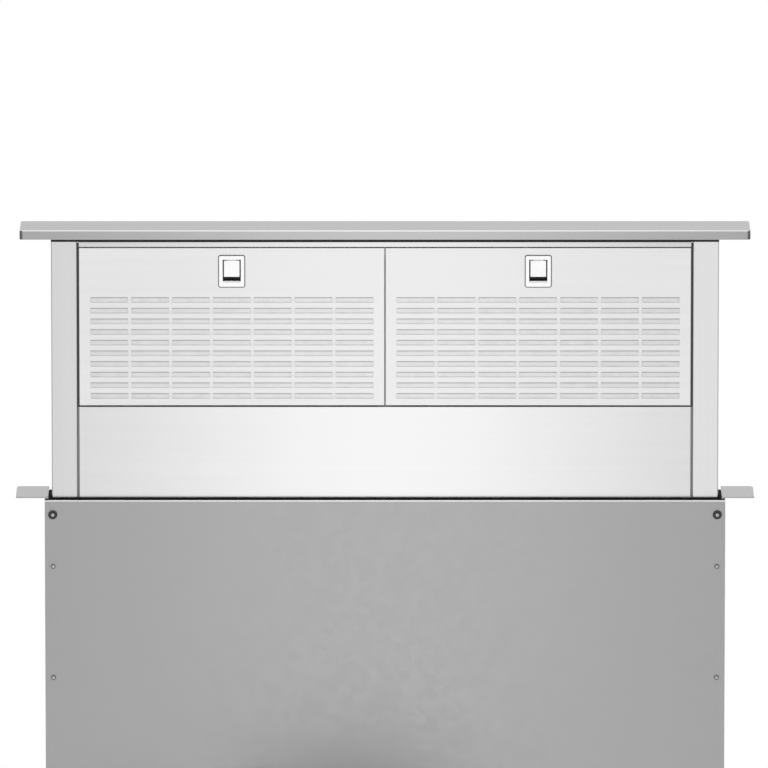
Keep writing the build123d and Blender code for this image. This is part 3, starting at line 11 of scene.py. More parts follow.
import bpy
import numpy as np
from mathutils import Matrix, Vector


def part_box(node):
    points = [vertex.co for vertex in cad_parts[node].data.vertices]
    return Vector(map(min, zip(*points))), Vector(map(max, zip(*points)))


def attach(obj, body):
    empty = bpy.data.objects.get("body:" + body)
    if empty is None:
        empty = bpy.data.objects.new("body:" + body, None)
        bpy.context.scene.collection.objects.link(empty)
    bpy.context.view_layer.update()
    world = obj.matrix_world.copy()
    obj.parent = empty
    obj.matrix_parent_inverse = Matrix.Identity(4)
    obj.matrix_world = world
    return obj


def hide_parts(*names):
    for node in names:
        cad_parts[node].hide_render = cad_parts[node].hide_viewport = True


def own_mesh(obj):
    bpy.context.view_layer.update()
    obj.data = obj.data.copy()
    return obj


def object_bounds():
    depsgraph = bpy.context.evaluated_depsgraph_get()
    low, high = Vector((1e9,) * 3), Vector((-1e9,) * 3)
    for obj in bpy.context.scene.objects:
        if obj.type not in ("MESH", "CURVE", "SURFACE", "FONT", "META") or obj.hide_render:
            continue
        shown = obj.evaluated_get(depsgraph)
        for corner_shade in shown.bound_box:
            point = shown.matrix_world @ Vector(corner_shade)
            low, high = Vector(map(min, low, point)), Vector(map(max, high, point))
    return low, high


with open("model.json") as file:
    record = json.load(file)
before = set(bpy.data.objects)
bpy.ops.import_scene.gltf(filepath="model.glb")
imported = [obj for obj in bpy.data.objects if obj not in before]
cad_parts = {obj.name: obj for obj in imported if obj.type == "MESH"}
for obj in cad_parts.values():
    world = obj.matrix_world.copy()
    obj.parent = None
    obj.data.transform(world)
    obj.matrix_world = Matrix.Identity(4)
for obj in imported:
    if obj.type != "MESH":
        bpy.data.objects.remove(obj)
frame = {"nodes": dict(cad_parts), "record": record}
cad_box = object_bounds()
MM = 0.001

# %% [markdown]
# ## The camera
# The long edges run level and the sides of the tower stay parallel, as in a catalogue picture taken from far
# away. The top of the cap shows as a narrow band, and its height against the cap's real depth gives the
# angle from which the camera looks down. A level camera with a shifted lens would keep the sides parallel
# too, but its shift would spoil every other view, so this one is tilted and stands a long way off.

# %% Camera
CAMERA_DISTANCE = 20.0
CAMERA_ELEVATION = math.radians(12.0)
CAMERA_LENS = 747.4
SENSOR_WIDTH = 36.0
CLIP_END = 100.0
AIM_HEIGHT = 0.1404
AIM_SIDE = -0.00125  # the tower's middle lies one pixel right of the picture's

camera_data = bpy.data.cameras.new("camera")
camera_data.lens = CAMERA_LENS
camera_data.sensor_width = SENSOR_WIDTH
camera_data.clip_end = CLIP_END
camera = bpy.data.objects.new("camera", camera_data)
camera.location = (
    AIM_SIDE,
    -CAMERA_DISTANCE * math.cos(CAMERA_ELEVATION),
    AIM_HEIGHT + CAMERA_DISTANCE * math.sin(CAMERA_ELEVATION),
)
camera.rotation_euler = (math.pi / 2 - CAMERA_ELEVATION, 0, 0)
bpy.context.scene.collection.objects.link(camera)
bpy.context.scene.camera = camera
bpy.context.scene.view_settings.view_transform = "Standard"
print("camera:", CAMERA_DISTANCE, "m away,", CAMERA_LENS, "mm lens")

# %% [markdown]
# ## Writing shader maths as maths
# A material is a small factory of nodes. Written node by node, even `1 - mask` takes four lines. A class
# that wraps a socket and overloads the arithmetic signs lets a formula be written as one, and adds the Math
# nodes behind it. One method makes every other node: its settings go in first, because some settings change
# which sockets a node has, and then its values and links.

# %% Sockets that calculate
class Signal:
    """A node's output that changes over a surface. Arithmetic on it adds Math nodes."""

    def __init__(self, finish, socket):
        self.finish = finish
        self.socket = socket

    def math(self, operation, *inputs):
        """A Math node on signals and numbers."""
        return self.finish.node("ShaderNodeMath", {"operation": operation}, dict(enumerate(inputs)))

    def __add__(self, other):
        return self.math("ADD", self, other)

    def __sub__(self, other):
        return self.math("SUBTRACT", self, other)

    def __rsub__(self, other):
        return self.math("SUBTRACT", other, self)

    def __mul__(self, other):
        return self.math("MULTIPLY", self, other)

    def __gt__(self, other):
        return self.math("GREATER_THAN", self, other)

    def __lt__(self, other):
        return self.math("LESS_THAN", self, other)

    def __abs__(self):
        return self.math("ABSOLUTE", self)

    __radd__ = __add__
    __rmul__ = __mul__


print("signals:", ", ".join(name for name in vars(Signal) if name.startswith("__r")), "are reflected")

# %% [markdown]
# ## A material in the making
# The second class holds a tree of nodes, of a material or of the world. Its methods are the few steps that
# every finish below is made of: a coordinate, a noise, a blend, a bump, and the shader at the end.

# %% Trees of nodes
class Finish:
    """The nodes of a material or of the world, on the piece's own coordinates in metres."""

    def __init__(self, owner):
        self.owner = owner
        self.owner.use_nodes = True
        self.tree = self.owner.node_tree
        self.tree.nodes.clear()

    def node(self, kind, settings=None, values=None, output=0):
        """Any node: first its settings, then the value or the link of each socket."""
        made = self.tree.nodes.new(kind)
        for name, value in (settings or {}).items():
            if name == "stops":
                self.stops(made.color_ramp, value)
            else:
                setattr(made, name, value)
        for name, value in (values or {}).items():
            if isinstance(value, Signal):
                self.tree.links.new(value.socket, made.inputs[name])
            else:
                made.inputs[name].default_value = value
        return Signal(self, made.outputs[output]) if made.outputs else None

    def stops(self, ramp, stops):
        """Grey stops of a colour ramp, each a place and a shade."""
        while len(ramp.elements) < len(stops):
            ramp.elements.new(1.0)
        for element, (place, shade) in zip(ramp.elements, stops):
            element.position = place
            element.color = (shade, shade, shade, 1.0)

    def coordinates(self, kind="Object"):
        """The surface point on the piece's own axes, or its Normal."""
        return self.node("ShaderNodeTexCoord", output=kind)

    def axis(self, letter, kind="Object"):
        """One coordinate of the surface point in metres, or one share of its Normal."""
        return self.node("ShaderNodeSeparateXYZ", values={0: self.coordinates(kind)}, output=letter)

    def painted_corner_shade(self):
        """Mask of the painted corner shade: one where the surface faces halfway between front and side, zero
        where it faces either.
        """
        return abs(self.axis("X", "Normal") * self.axis("Y", "Normal") * 2.0)

    def noise(self, scale, detail=2.0, roughness=0.5, output=0):
        """Soft random shade between 0 and 1, in patches to the metre: one number, or one for each axis."""
        scale = np.broadcast_to(scale, 3).tolist()
        stretched = self.node("ShaderNodeMapping", values={"Vector": self.coordinates(), "Scale": scale})
        values = {"Vector": stretched, "Scale": 1.0, "Detail": detail, "Roughness": roughness}
        return self.node("ShaderNodeTexNoise", values=values, output=output)

    def between(self, low, high, amount):
        """A value that runs from low to high as amount runs from 0 to 1."""
        return low + amount * (high - low)

    def rise(self, value, low, high):
        """Rises from 0 to 1 as value runs from low to high, and levels out softly at both ends."""
        return self.node(
            "ShaderNodeMapRange",
            {"interpolation_type": "SMOOTHSTEP"},
            {"Value": value, "From Min": low, "From Max": high},
        )

    def mix(self, first, second, amount):
        """The first colour where amount is 0 and the second where it is 1."""
        return self.node("ShaderNodeMix", {"data_type": "RGBA"}, {0: amount, 6: first, 7: second}, output=2)

    def shade(self, colour, amount):
        """The colour times a brightness that varies."""
        return self.node("ShaderNodeVectorMath", {"operation": "SCALE"}, {0: colour[:3], "Scale": amount})

    def bump(self, height, depth, strength=1.0):
        """A normal from a height between 0 and 1, worth that depth in metres."""
        return self.node("ShaderNodeBump", values={"Height": height, "Distance": depth, "Strength": strength})

    def seen_by(self, *kinds):
        """One on rays of any of the kinds, such as Camera or Glossy, and zero on all others."""
        seen, *others = [self.node("ShaderNodeLightPath", output=f"Is {kind} Ray") for kind in kinds]
        for other in others:
            seen = seen.math("MAXIMUM", seen, other)
        return seen

    def end(self, shader, kind="Material"):
        """Links the last shader to the output, and gives back the material or the world."""
        self.node(f"ShaderNodeOutput{kind}", values={"Surface": shader})
        return self.owner

    def done(self, **sockets):
        """Ends the material with one Principled shader. Names are its sockets, with _ for a space."""
        values = {name.replace("_", " "): value for name, value in sockets.items()}
        return self.end(self.node("ShaderNodeBsdfPrincipled", values=values))


def new_finish(name):
    """A new material's empty tree."""
    return Finish(bpy.data.materials.new(name))


def swing(noise, reach):
    """Noise between 0 and 1 as a swing round zero, half the reach to each side."""
    return (noise - 0.5) * reach


def grey(level, tint=0.0):
    """A neutral colour; a positive tint cools it and a negative one warms it."""
    return (level * (1 - tint), level, level * (1 + tint), 1.0)


print("a grey of 0.5:", grey(0.5))

# %% [markdown]
# ## Brushed stainless steel
# The panels are polished with a belt that leaves hair-fine scratches, all one way. A scratch is a hand long
# and a fraction of a millimetre wide, so noise that is stretched nearly two hundred times along the grain
# draws it. The scratches scatter light, so they belong in the roughness and in a very shallow bump; the
# colour changes by only a few percent. Real anisotropy would need a tangent for each folded sheet, and from
# a step away the stretched noise looks the same. Where a sheet is folded round an upright corner its normal
# points between the front and the side, and there a painted shade darkens the colour, standing in for the
# reflection of a dark room: the product of the normal's X and Y is largest on just those corners.

# %% Brushed steel
SCRATCHES = 900.0  # scratches to the metre, across the grain
STREAKS = 5.0  # changes to the metre, along the grain
BROADER = 8  # a broad streak is as wide as this many scratches
LONGER = 3  # and as long as this many
CLOUDS = 2.5  # clouds to the metre
SCRATCH_SHADE = 0.05
STREAK_SHADE = 0.045
SCRATCH_ROUGHNESS = 0.08
STREAK_ROUGHNESS = 0.05  # to each side
SCRATCH_DEPTH = 0.015 * MM


def brushed(name, level, along="X", rough=0.36, cloud=0.02, corner_shade=0.0, extra=None):
    """Steel brushed along one axis: fine stretched scratches over slow clouds, with painted shade round its
    corners.
    """
    finish = new_finish(name)
    fine = [SCRATCHES] * 3
    broad = [SCRATCHES / BROADER] * 3
    fine["XYZ".index(along)] = STREAKS
    broad["XYZ".index(along)] = STREAKS / LONGER
    scratch = finish.noise(fine, detail=3.0, roughness=0.6)
    streak = finish.noise(broad)
    clouds = finish.noise(CLOUDS, detail=1.0)
    brightness = 1.0 + swing(scratch, SCRATCH_SHADE) + swing(streak, STREAK_SHADE) + swing(clouds, cloud)
    # painted shade on the upright corners, standing in for the reflection of a dark room
    if corner_shade:
        brightness = brightness * (1.0 - finish.painted_corner_shade() * corner_shade)
    if extra:
        brightness = brightness * extra(finish)
    roughness = finish.between(rough - STREAK_ROUGHNESS, rough + STREAK_ROUGHNESS, streak)
    return finish.done(
        Base_Color=finish.shade(grey(level), brightness),
        Metallic=1.0,
        Roughness=roughness + swing(scratch, SCRATCH_ROUGHNESS),
        Normal=finish.bump(scratch, SCRATCH_DEPTH),
    )


plain_steel = brushed("mill_steel", 0.62, along="Z", rough=0.42)
rail_steel = brushed("brushed_rail", 0.77)
panel_steel = brushed("brushed_panel", 0.85, corner_shade=0.3)
# One steel in two copies: painted shade darkens the left column and painted light brightens the right one.
post_steel_left_painted_shade = brushed("brushed_post_left_painted_shade", 0.81, along="Z", corner_shade=0.5)
post_steel_right_painted_light = brushed("brushed_post_right_painted_light", 0.89, along="Z", corner_shade=0.5)
flange_finish = brushed("brushed_flange", 0.485, rough=0.34, corner_shade=0.4)
print("brushed steels:", SCRATCHES, "scratches to the metre")

# %% [markdown]
# Two of the brushed steels vary over the piece as well, with light and shade painted into their colour. The
# rounded edge of the cap gets a painted highlight, and the filters get painted light towards the tower's
# ends, while their lugs get painted shade where they hang in the dark of the joint below. Each of these is
# one more factor on the brightness, worked out from the surface point.

# %% Cap and filters
CAP_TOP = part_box("top_cap")[1].z
EDGE_START = CAP_TOP - 1.3 * MM  # the cap's upper edge is rounded from here
EDGE_END = CAP_TOP - 0.07 * MM  # and its top is flat above here
EDGE_HIGHLIGHT = 0.8
SILL_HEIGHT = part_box("lower_front_panel")[1].z
TRAY_FOOT = SILL_HEIGHT + 1.85 * MM  # the filter's lugs reach below its tray
# painted light on the filters towards the tower's ends
END_SHINE = 1.3  # rise in brightness a metre from the middle
# painted shade on the filters' lugs, in the dark of the joint
LUG_SHADE = 0.94


def painted_edge_highlight(finish):
    """Painted highlight: brighter between two heights."""
    height = finish.axis("Z")
    return 1.0 + (height > EDGE_START) * (height < EDGE_END) * EDGE_HIGHLIGHT


def filter_shades(finish):
    """Painted light, brighter towards the ends as the square of the distance; painted shade, nearly black, on
    the lugs.
    """
    sideways = finish.axis("X")
    lugs = finish.axis("Z") < TRAY_FOOT
    return (1.0 + sideways * sideways * END_SHINE) * (1.0 - lugs * LUG_SHADE)


# the cap's rounded upper edge gets a painted highlight
cap_finish = brushed("brushed_cap", 0.50, rough=0.34, corner_shade=0.85, extra=painted_edge_highlight)
filter_steel = brushed("brushed_filter", 0.78, corner_shade=0.3, extra=filter_shades)
# the height of the painted highlight on the cap's edge
print("the cap's edge is polished over", round((EDGE_END - EDGE_START) / MM, 2), "mm")

# %% [markdown]
# ## Galvanised sheet
# The housing is hidden in the cupboard, so its makers use zinc-coated sheet. The zinc freezes in crystals,
# called spangle, each with its own faint grey. Voronoi cells have that shape. The cells are warped with a
# little noise, because crystals aren't drawn with a ruler, and a second finer noise stands for the dull
# bloom that zinc grows. Along the rolled rim a painted highlight brightens the zinc, for the light from above
# that grazes the rim.

# %% Galvanised sheet
SPANGLE = 95.0  # crystals to the metre
WARPS = 60.0  # bends to the metre
WARP_REACH = (12 * MM,) * 3
BLOOM = 420.0  # patches to the metre
BLOOM_SHADE = 0.05
ZINC_ROUGHNESS = 0.46, 0.58  # of the shiniest crystals and of the dullest
BLOOM_ROUGHNESS = 0.1
BLOOM_DEPTH = 0.02 * MM
# share of painted shade on the zinc's upright corners
ZINC_CORNER_SHADE = 0.3
RIM_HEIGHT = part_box("housing_front_panel")[1].z - 1.7 * MM  # the housing's rolled rim starts here
# painted highlight along the rolled rim, for the light from above that grazes it
RIM_HIGHLIGHT = 0.85


def galvanised(name, level, contrast=0.10, painted_rim_highlight=False):
    """Zinc crystals: warped Voronoi cells, each with its own shade, under a fine bloom."""
    finish = new_finish(name)
    warp = finish.noise(WARPS, output="Color")
    warped = finish.node(
        "ShaderNodeVectorMath",
        {"operation": "MULTIPLY_ADD"},
        {0: warp, 1: WARP_REACH, 2: finish.coordinates()},
    )
    cells = finish.node("ShaderNodeTexVoronoi", values={"Vector": warped, "Scale": SPANGLE}, output="Color")
    crystal = finish.node("ShaderNodeSeparateColor", values={0: cells})
    bloom = finish.noise(BLOOM, detail=3.0)
    brightness = 1.0 + swing(crystal, contrast) + swing(bloom, BLOOM_SHADE)
    # painted highlight on the rim
    if painted_rim_highlight:
        brightness = brightness + (finish.axis("Z") > RIM_HEIGHT) * RIM_HIGHLIGHT
    return finish.done(
        Base_Color=finish.shade(grey(level), brightness * (1.0 - finish.painted_corner_shade() * ZINC_CORNER_SHADE)),
        Metallic=0.9,
        Roughness=finish.between(*ZINC_ROUGHNESS, crystal) + swing(bloom, BLOOM_ROUGHNESS),
        Normal=finish.bump(bloom, BLOOM_DEPTH),
    )


zinc_sheet = galvanised("zinc_sheet", 0.40)
housing_zinc = galvanised("housing_zinc", 0.44, contrast=0.05, painted_rim_highlight=True)
print("galvanised sheets:", SPANGLE, "crystals to the metre")

# %% [markdown]
# ## Cast, machined, drawn and painted metal
# The works below the tower are the usual mix of an appliance: die-cast gear housing, bronze nuts, a
# spun aluminium wheel, enamelled motors and a powder-coated control box. Each process leaves its own mark,
# and one function can't say them all: casting leaves a fine pitted skin, turning leaves rings, drawing
# leaves lines along the can, and powder coat flows into a soft orange peel.

# %% Cast and coated skins
STAINS = 18.0  # patches to the metre
SKIN_SHADE = 0.14
STAIN_SHADE = 0.16
SKIN_ROUGHNESS = 0.08  # to each side


def pitted(name, colour, metallic, rough, grain, depth, coat=0.0):
    """A cast or coated skin: fine rounded grain in colour, roughness and height."""
    finish = new_finish(name)
    skin = finish.noise(grain, detail=3.0)
    stain = finish.noise(STAINS)
    return finish.done(
        Base_Color=finish.shade(colour, 1.0 + swing(skin, SKIN_SHADE) + swing(stain, STAIN_SHADE)),
        Metallic=metallic,
        Roughness=finish.between(rough - SKIN_ROUGHNESS, rough + SKIN_ROUGHNESS, skin),
        Coat_Weight=coat,
        Normal=finish.bump(skin, depth),
    )


BOARD_GREEN = (0.02, 0.16, 0.06, 1.0)
cast_skin = pitted("cast_skin", grey(0.45), 1.0, 0.5, grain=900, depth=0.08 * MM)
enamel = pitted("motor_enamel", grey(0.05, 0.03), 0.0, 0.34, grain=260, depth=0.03 * MM, coat=0.4)
powder_coat = pitted("powder_coat", grey(0.42, 0.006), 0.0, 0.42, grain=500, depth=0.06 * MM)
board_lacquer = pitted("board_lacquer", BOARD_GREEN, 0.0, 0.3, grain=700, depth=0.02 * MM, coat=0.5)
wheel_sheet = brushed("wheel_sheet", 0.60, along="Y", rough=0.4)
drawn_can = brushed("drawn_can", 0.56, along="Z", rough=0.3)
damper_sheet = brushed("damper_sheet", 0.62, along="Z", rough=0.42)
print("skins and sheets:", len(bpy.data.materials), "materials so far")

# %% [markdown]
# A screw's head is turned too. Its rounded shoulder gets a painted shade, for the dark it would mirror
# between the panels, and shows as a ring round a bright flat, so the shade follows the normal: on the flat it
# runs along the axis of turning.

# %% Turned metal
RINGS = 1400.0  # rings to the metre, along the axis
ALONG_RING = 12.0  # changes to the metre, along a ring
TARNISH = 70.0  # patches to the metre
RING_SHADE = 0.12
TARNISH_SHADE = 0.2
POLISHED, DULL = -0.06, 0.08  # roughness against the finish's own, as the tarnish varies
RING_DEPTH = 0.02 * MM
FLAT_HEAD = 0.96  # square of the normal's share along the axis, above which a screw's head is flat


def turned(name, colour, axis, rough=0.3, shoulder_shade=0.0):
    """Machined metal: noise squeezed along the axis of turning, so it lies in fine rings. A head's rounded
    shoulder gets a painted shade, darker than its flat by the share given: it is where the normal leaves the
    axis."""
    finish = new_finish(name)
    scale = [ALONG_RING] * 3
    scale["XYZ".index(axis)] = RINGS
    rings = finish.noise(scale)
    tarnish = finish.noise(TARNISH)
    brightness = 1.0 + swing(rings, RING_SHADE) + swing(tarnish, TARNISH_SHADE)
    # painted shade on a head's rounded shoulder
    if shoulder_shade:
        along = finish.axis(axis, "Normal")
        brightness = brightness * (1.0 - (along * along < FLAT_HEAD) * shoulder_shade)
    return finish.done(
        Base_Color=finish.shade(colour, brightness),
        Metallic=1.0,
        Roughness=finish.between(rough + POLISHED, rough + DULL, tarnish),
        Normal=finish.bump(rings, RING_DEPTH),
    )


ZINC_WHITE = (0.60, 0.61, 0.63, 1.0)
BRONZE = (0.55, 0.38, 0.18, 1.0)
bright_zinc = turned("bright_zinc", ZINC_WHITE, "Z", rough=0.26)
screw_zinc = turned("screw_zinc", ZINC_WHITE, "Y", rough=0.26, shoulder_shade=0.8)
bronze_nut = turned("bronze_nut", BRONZE, "Z")
dark_spring = turned("dark_spring", grey(0.10), "Z", rough=0.4)
print("turned metals:", RINGS, "rings to the metre")

# %% [markdown]
# ## Rubber and moulded plastic
# The seal round the tower's foot and the gasket under the cap are matt black rubber, dusty in places. The
# catches are white plastic with the fine spark-eroded grain of their mould. Some of them change colour
# past a plane, as painted shade: behind the button the cup is painted black where its gap lies in shade,
# and the catch's tongue is painted black where it crosses the shaded joint under the rail, so both gaps
# read as clean dark lines.

# %% Rubber and plastic
# painted shade in the catch's cup and on its tongue, in black
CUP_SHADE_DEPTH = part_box("latch_bezel_left")[0].y + 3.6 * MM  # deeper in the catch's cup, the plastic is black
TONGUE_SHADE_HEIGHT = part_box("filter_face_left")[1].z - 0.8 * MM  # higher up, the catch's tongue is black
RUBBER_GRAIN = 900.0  # grains to the metre
WEAR = 45.0  # patches to the metre
WEAR_SHADE = 0.08
WEAR_ROUGHNESS = 0.07  # to each side
SPARK_SHADE = 0.03
SPARK_DEPTH = 0.02 * MM
# the colour of the painted shade in the catches' gaps
SHADE_BLACK = grey(0.012)


def moulded(name, colour, rough, grain=2200.0, gloss=0.5, past=None):
    """Moulded plastic or rubber: a fine even grain and faint patches of wear; another colour past a plane."""
    finish = new_finish(name)
    sparks = finish.noise(grain, detail=1.0)
    wear = finish.noise(WEAR, detail=3.0)
    shade = finish.shade(colour, 1.0 + swing(wear, WEAR_SHADE) + swing(sparks, SPARK_SHADE))
    if past:
        letter, limit, second = past
        shade = finish.mix(shade, second, finish.axis(letter) > limit)
    return finish.done(
        Base_Color=shade,
        Specular_IOR_Level=gloss,
        Roughness=finish.between(rough - WEAR_ROUGHNESS, rough + WEAR_ROUGHNESS, wear),
        Normal=finish.bump(sparks, SPARK_DEPTH),
    )


def rubber(name, level, gloss=0.1, past=None):
    """Matt rubber, coarser than plastic."""
    return moulded(name, grey(level), 0.7, grain=RUBBER_GRAIN, gloss=gloss, past=past)


catch_plastic = moulded("catch_plastic", grey(0.86), 0.42, past=("Y", CUP_SHADE_DEPTH, SHADE_BLACK))
button_plastic = moulded("button_plastic", grey(0.86), 0.40, past=("Z", TONGUE_SHADE_HEIGHT, SHADE_BLACK))
slide_plastic = moulded("slide_plastic", grey(0.80, -0.02), 0.5)
black_plastic = moulded("black_plastic", grey(0.022), 0.45)
# painted shade: the dark bead stands in for the shade in the gap round each catch's frame
bead_shade_plastic = moulded("bead_shade_plastic", grey(0.09), 0.5)
seal_rubber = rubber("seal_rubber", 0.005, gloss=0.05)
gasket_rubber = rubber("gasket_rubber", 0.03)
# painted shade: a dark strip stands in for the shade in each column's joint, darker still beside the filters
seam_shade_rubber = rubber("seam_shade_rubber", 0.20, past=("Z", SILL_HEIGHT, grey(0.06)))  # darker beside the filters
# how deep in the cup the painted shade starts
print("the catch's cup is lined from", round(CUP_SHADE_DEPTH / MM, 1), "mm back")

# %% [markdown]
# ## Expanded metal
# The filter's core is aluminium foil, slit and pulled open into diamonds. Modelled wire by wire it would
# take a million faces. Two families of slanted lines cross at the strands, so the distance to the nearer
# family gives strands and holes from one formula. The sheet right behind the slots is also darker under
# each slot's upper edge, where the thick steel in front of it keeps the light out. The slots repeat at an
# even pitch, so the height's phase within one pitch tells how far a point lies below such an edge.

# %% Expanded metal
DIAMOND_WIDE = 4.2 * MM
DIAMOND_HIGH = 2.4 * MM
STRAND = 0.14  # half a strand's width, as a share of a diamond
STRAND_RELIEF = [(0.05, 1.0), (0.3, 0.0)]  # a strand's height, from its middle to past its edge
STRAND_DEPTH = 0.3 * MM
WOBBLES = 300.0  # bends to the metre
WOBBLE_REACH = 0.06
CRINKLES = 120.0  # crinkles of the foil to the metre
CRINKLE_SHADE = 0.2
FOIL_ROUGHNESS = 0.35, 0.5
HOLE_SHADE = 0.30
SLOT_PITCH = 13.63 * MM
LOWEST_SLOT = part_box("filter_mesh_left")[0].z + 7.8 * MM
SHADOW_START, SHADOW_END = 0.34, 0.47  # shares of the pitch above a slot's lower edge
SHADOW_SHADE = 0.45


def expanded(name, level, behind_slots):
    """Diamonds: the triangle waves of x/w + z/h and x/w - z/h cross, and the lower one is the strand."""
    finish = new_finish(name)
    across = finish.axis("X") * (1 / DIAMOND_WIDE)
    upward = finish.axis("Z") * (1 / DIAMOND_HIGH)
    waves = [slant.math("PINGPONG", slant, 0.5) for slant in (across + upward, across - upward)]
    hole = across.math("MINIMUM", *waves)
    wobble = finish.noise(WOBBLES)
    strand = (hole + swing(wobble, WOBBLE_REACH)) < STRAND
    height = finish.node("ShaderNodeValToRGB", {"stops": STRAND_RELIEF}, {0: hole})
    foil = finish.noise(CRINKLES)
    brightness = 1.0 + swing(foil, CRINKLE_SHADE) - (1 - strand) * HOLE_SHADE
    if behind_slots:
        slots_up = (finish.axis("Z") - LOWEST_SLOT) * (1 / SLOT_PITCH)
        phase = slots_up.math("FRACT", slots_up)
        brightness = brightness * (1.0 - finish.rise(phase, SHADOW_START, SHADOW_END) * SHADOW_SHADE)
    return finish.done(
        Base_Color=finish.shade(grey(level), brightness),
        Metallic=0.9,
        Roughness=finish.between(*FOIL_ROUGHNESS, foil),
        Normal=finish.bump(height, STRAND_DEPTH, strength=0.7),
    )


screen_foil = expanded("screen_foil", 0.93, behind_slots=True)
core_foil = expanded("core_foil", 0.72, behind_slots=False)
print("expanded metal:", round(DIAMOND_WIDE / MM, 1), "x", round(DIAMOND_HIGH / MM, 1), "mm diamonds")

# %% [markdown]
# ## Dressing the frame
# Each node of the frame names a slot, such as galvanised or black_rubber. A dictionary from slot to
# finish dresses most of them at once, and a second one lists the nodes whose grain or place needs its own.

# %% Dress the nodes
BY_SLOT = {
    "stainless": panel_steel,
    "cap_steel": cap_finish,
    "inner_steel": plain_steel,
    "galvanised": zinc_sheet,
    "mesh": core_foil,
    "damper": damper_sheet,
    "black_rubber": seal_rubber,
    "white_plastic": slide_plastic,
    "black_plastic": black_plastic,
    "screw_steel": bright_zinc,
    "bronze": bronze_nut,
    "cast_metal": cast_skin,
    "motor_enamel": enamel,
    "wheel_metal": wheel_sheet,
    "capacitor_can": drawn_can,
    "box_paint": powder_coat,
    "board_green": board_lacquer,
}
BY_NODE = {
    "tower_column_left": post_steel_left_painted_shade,
    "tower_column_right": post_steel_right_painted_light,
    "tower_top_channel": rail_steel,
    "filter_face_left": filter_steel,
    "filter_face_right": filter_steel,
    "end_flange_left": flange_finish,
    "end_flange_right": flange_finish,
    "housing_front_panel": housing_zinc,
    "housing_back_panel": housing_zinc,
    "housing_screws": screw_zinc,
    "cap_gasket": gasket_rubber,
    "latch_bezel_left": catch_plastic,
    "latch_bezel_right": catch_plastic,
    "latch_slider_left": button_plastic,
    "latch_slider_right": button_plastic,
}
for part in frame["record"]["subparts"]:
    node = frame["nodes"][part["node"]]
    node.data.materials.clear()
    node.data.materials.append(BY_NODE.get(part["node"], BY_SLOT[part["material_slot"]]))

# %% [markdown]
# ## Surfaces from formulas
# Every new piece is a grid: two parameters run along its rows and columns, and a formula turns them into
# points. Numpy works out all the points at once. Joining each point to its right and upper neighbours gives
# the faces, and a grid that wraps round on itself closes into a tube.

# %% Grids into meshes
def full_turn(steps):
    """Angles evenly round a circle, without the last, which is the first again."""
    return np.linspace(0, 2 * np.pi, steps, endpoint=False)


def ring_faces(rows, columns):
    """Quads between neighbouring points of a grid whose last column closes to the first."""
    row, column = np.mgrid[0 : rows - 1, 0:columns]
    after = (column + 1) % columns
    here, above = row * columns, (row + 1) * columns
    return np.stack([here + column, here + after, above + after, above + column], axis=-1).reshape(-1, 4)


def solid(name, points, faces, finish):
    """A piece from points and faces, turned outward: a negative volume means its faces look inward."""
    points = points.reshape(-1, 3)
    mesh = bpy.data.meshes.new(name)
    mesh.from_pydata(points, [], faces)
    mesh.validate()
    mesh.calc_loop_triangles()
    triangles = np.empty(3 * len(mesh.loop_triangles), dtype=np.int32)
    mesh.loop_triangles.foreach_get("vertices", triangles)
    corners = points[triangles.reshape(-1, 3)]
    if np.einsum("ij,ij->", corners[:, 0], np.cross(corners[:, 1], corners[:, 2])) < 0:
        mesh.flip_normals()
    mesh.shade_smooth()
    mesh.materials.append(finish)
    piece = bpy.data.objects.new(name, mesh)
    bpy.context.scene.collection.objects.link(piece)
    return piece


def tube(name, points, finish):
    """A closed tube from rings of points: shape (rings, points to the ring, 3), with a face on each end."""
    rings, around, _ = points.shape
    faces = ring_faces(rings, around).tolist()
    faces.append(list(range(around))[::-1])
    faces.append(list(range((rings - 1) * around, rings * around)))
    return solid(name, points, faces, finish)


def make_both(*makers):
    """The left piece of each maker, then the right one."""
    for side in ("left", "right"):
        for maker in makers:
            made = maker(side)
            print(made.name, len(made.data.polygons), "faces")


print("a tube of 2 rings of 4 points:", len(ring_faces(2, 4)), "sides and 2 ends")

# %% [markdown]
# ## Lead screws
# One motor turns both lead screws, and the tower's bronze nuts climb them. The thread is a two-start
# trapezoid with a 10 mm lead, so the tower rises 10 mm in a turn. The radius at a point depends only on its
# height and its angle: going once round must shift the profile by the lead, so their difference is the phase.

# %% Lead screws
SCREW_RADIUS = 6.0 * MM
SCREW_BEVEL = 1.5 * MM
THREAD_DEPTH = 1.4 * MM
LEAD = 10.0 * MM
STARTS = 2
PITCH = LEAD / STARTS
HALF_ROOT, FLANK = 0.14, 0.14  # shares of the pitch
JOURNAL_RADIUS = 5.0 * MM
JOURNAL_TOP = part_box("screw_bearings")[1].z + 1.0 * MM
SHOULDER_HEIGHT = 0.01 * MM
RING_STEP = 0.7 * MM
RING_POINTS = 24


def thread_radius(height, angle):
    """Crest radius less a trapezoid of the phase, which is height over pitch less turns times starts."""
    phase = (height / PITCH - angle * STARTS / (2 * np.pi)) % 1.0
    crest = np.clip((np.abs(phase - 0.5) - HALF_ROOT) / FLANK, 0, 1)
    return SCREW_RADIUS - THREAD_DEPTH * (1 - crest)


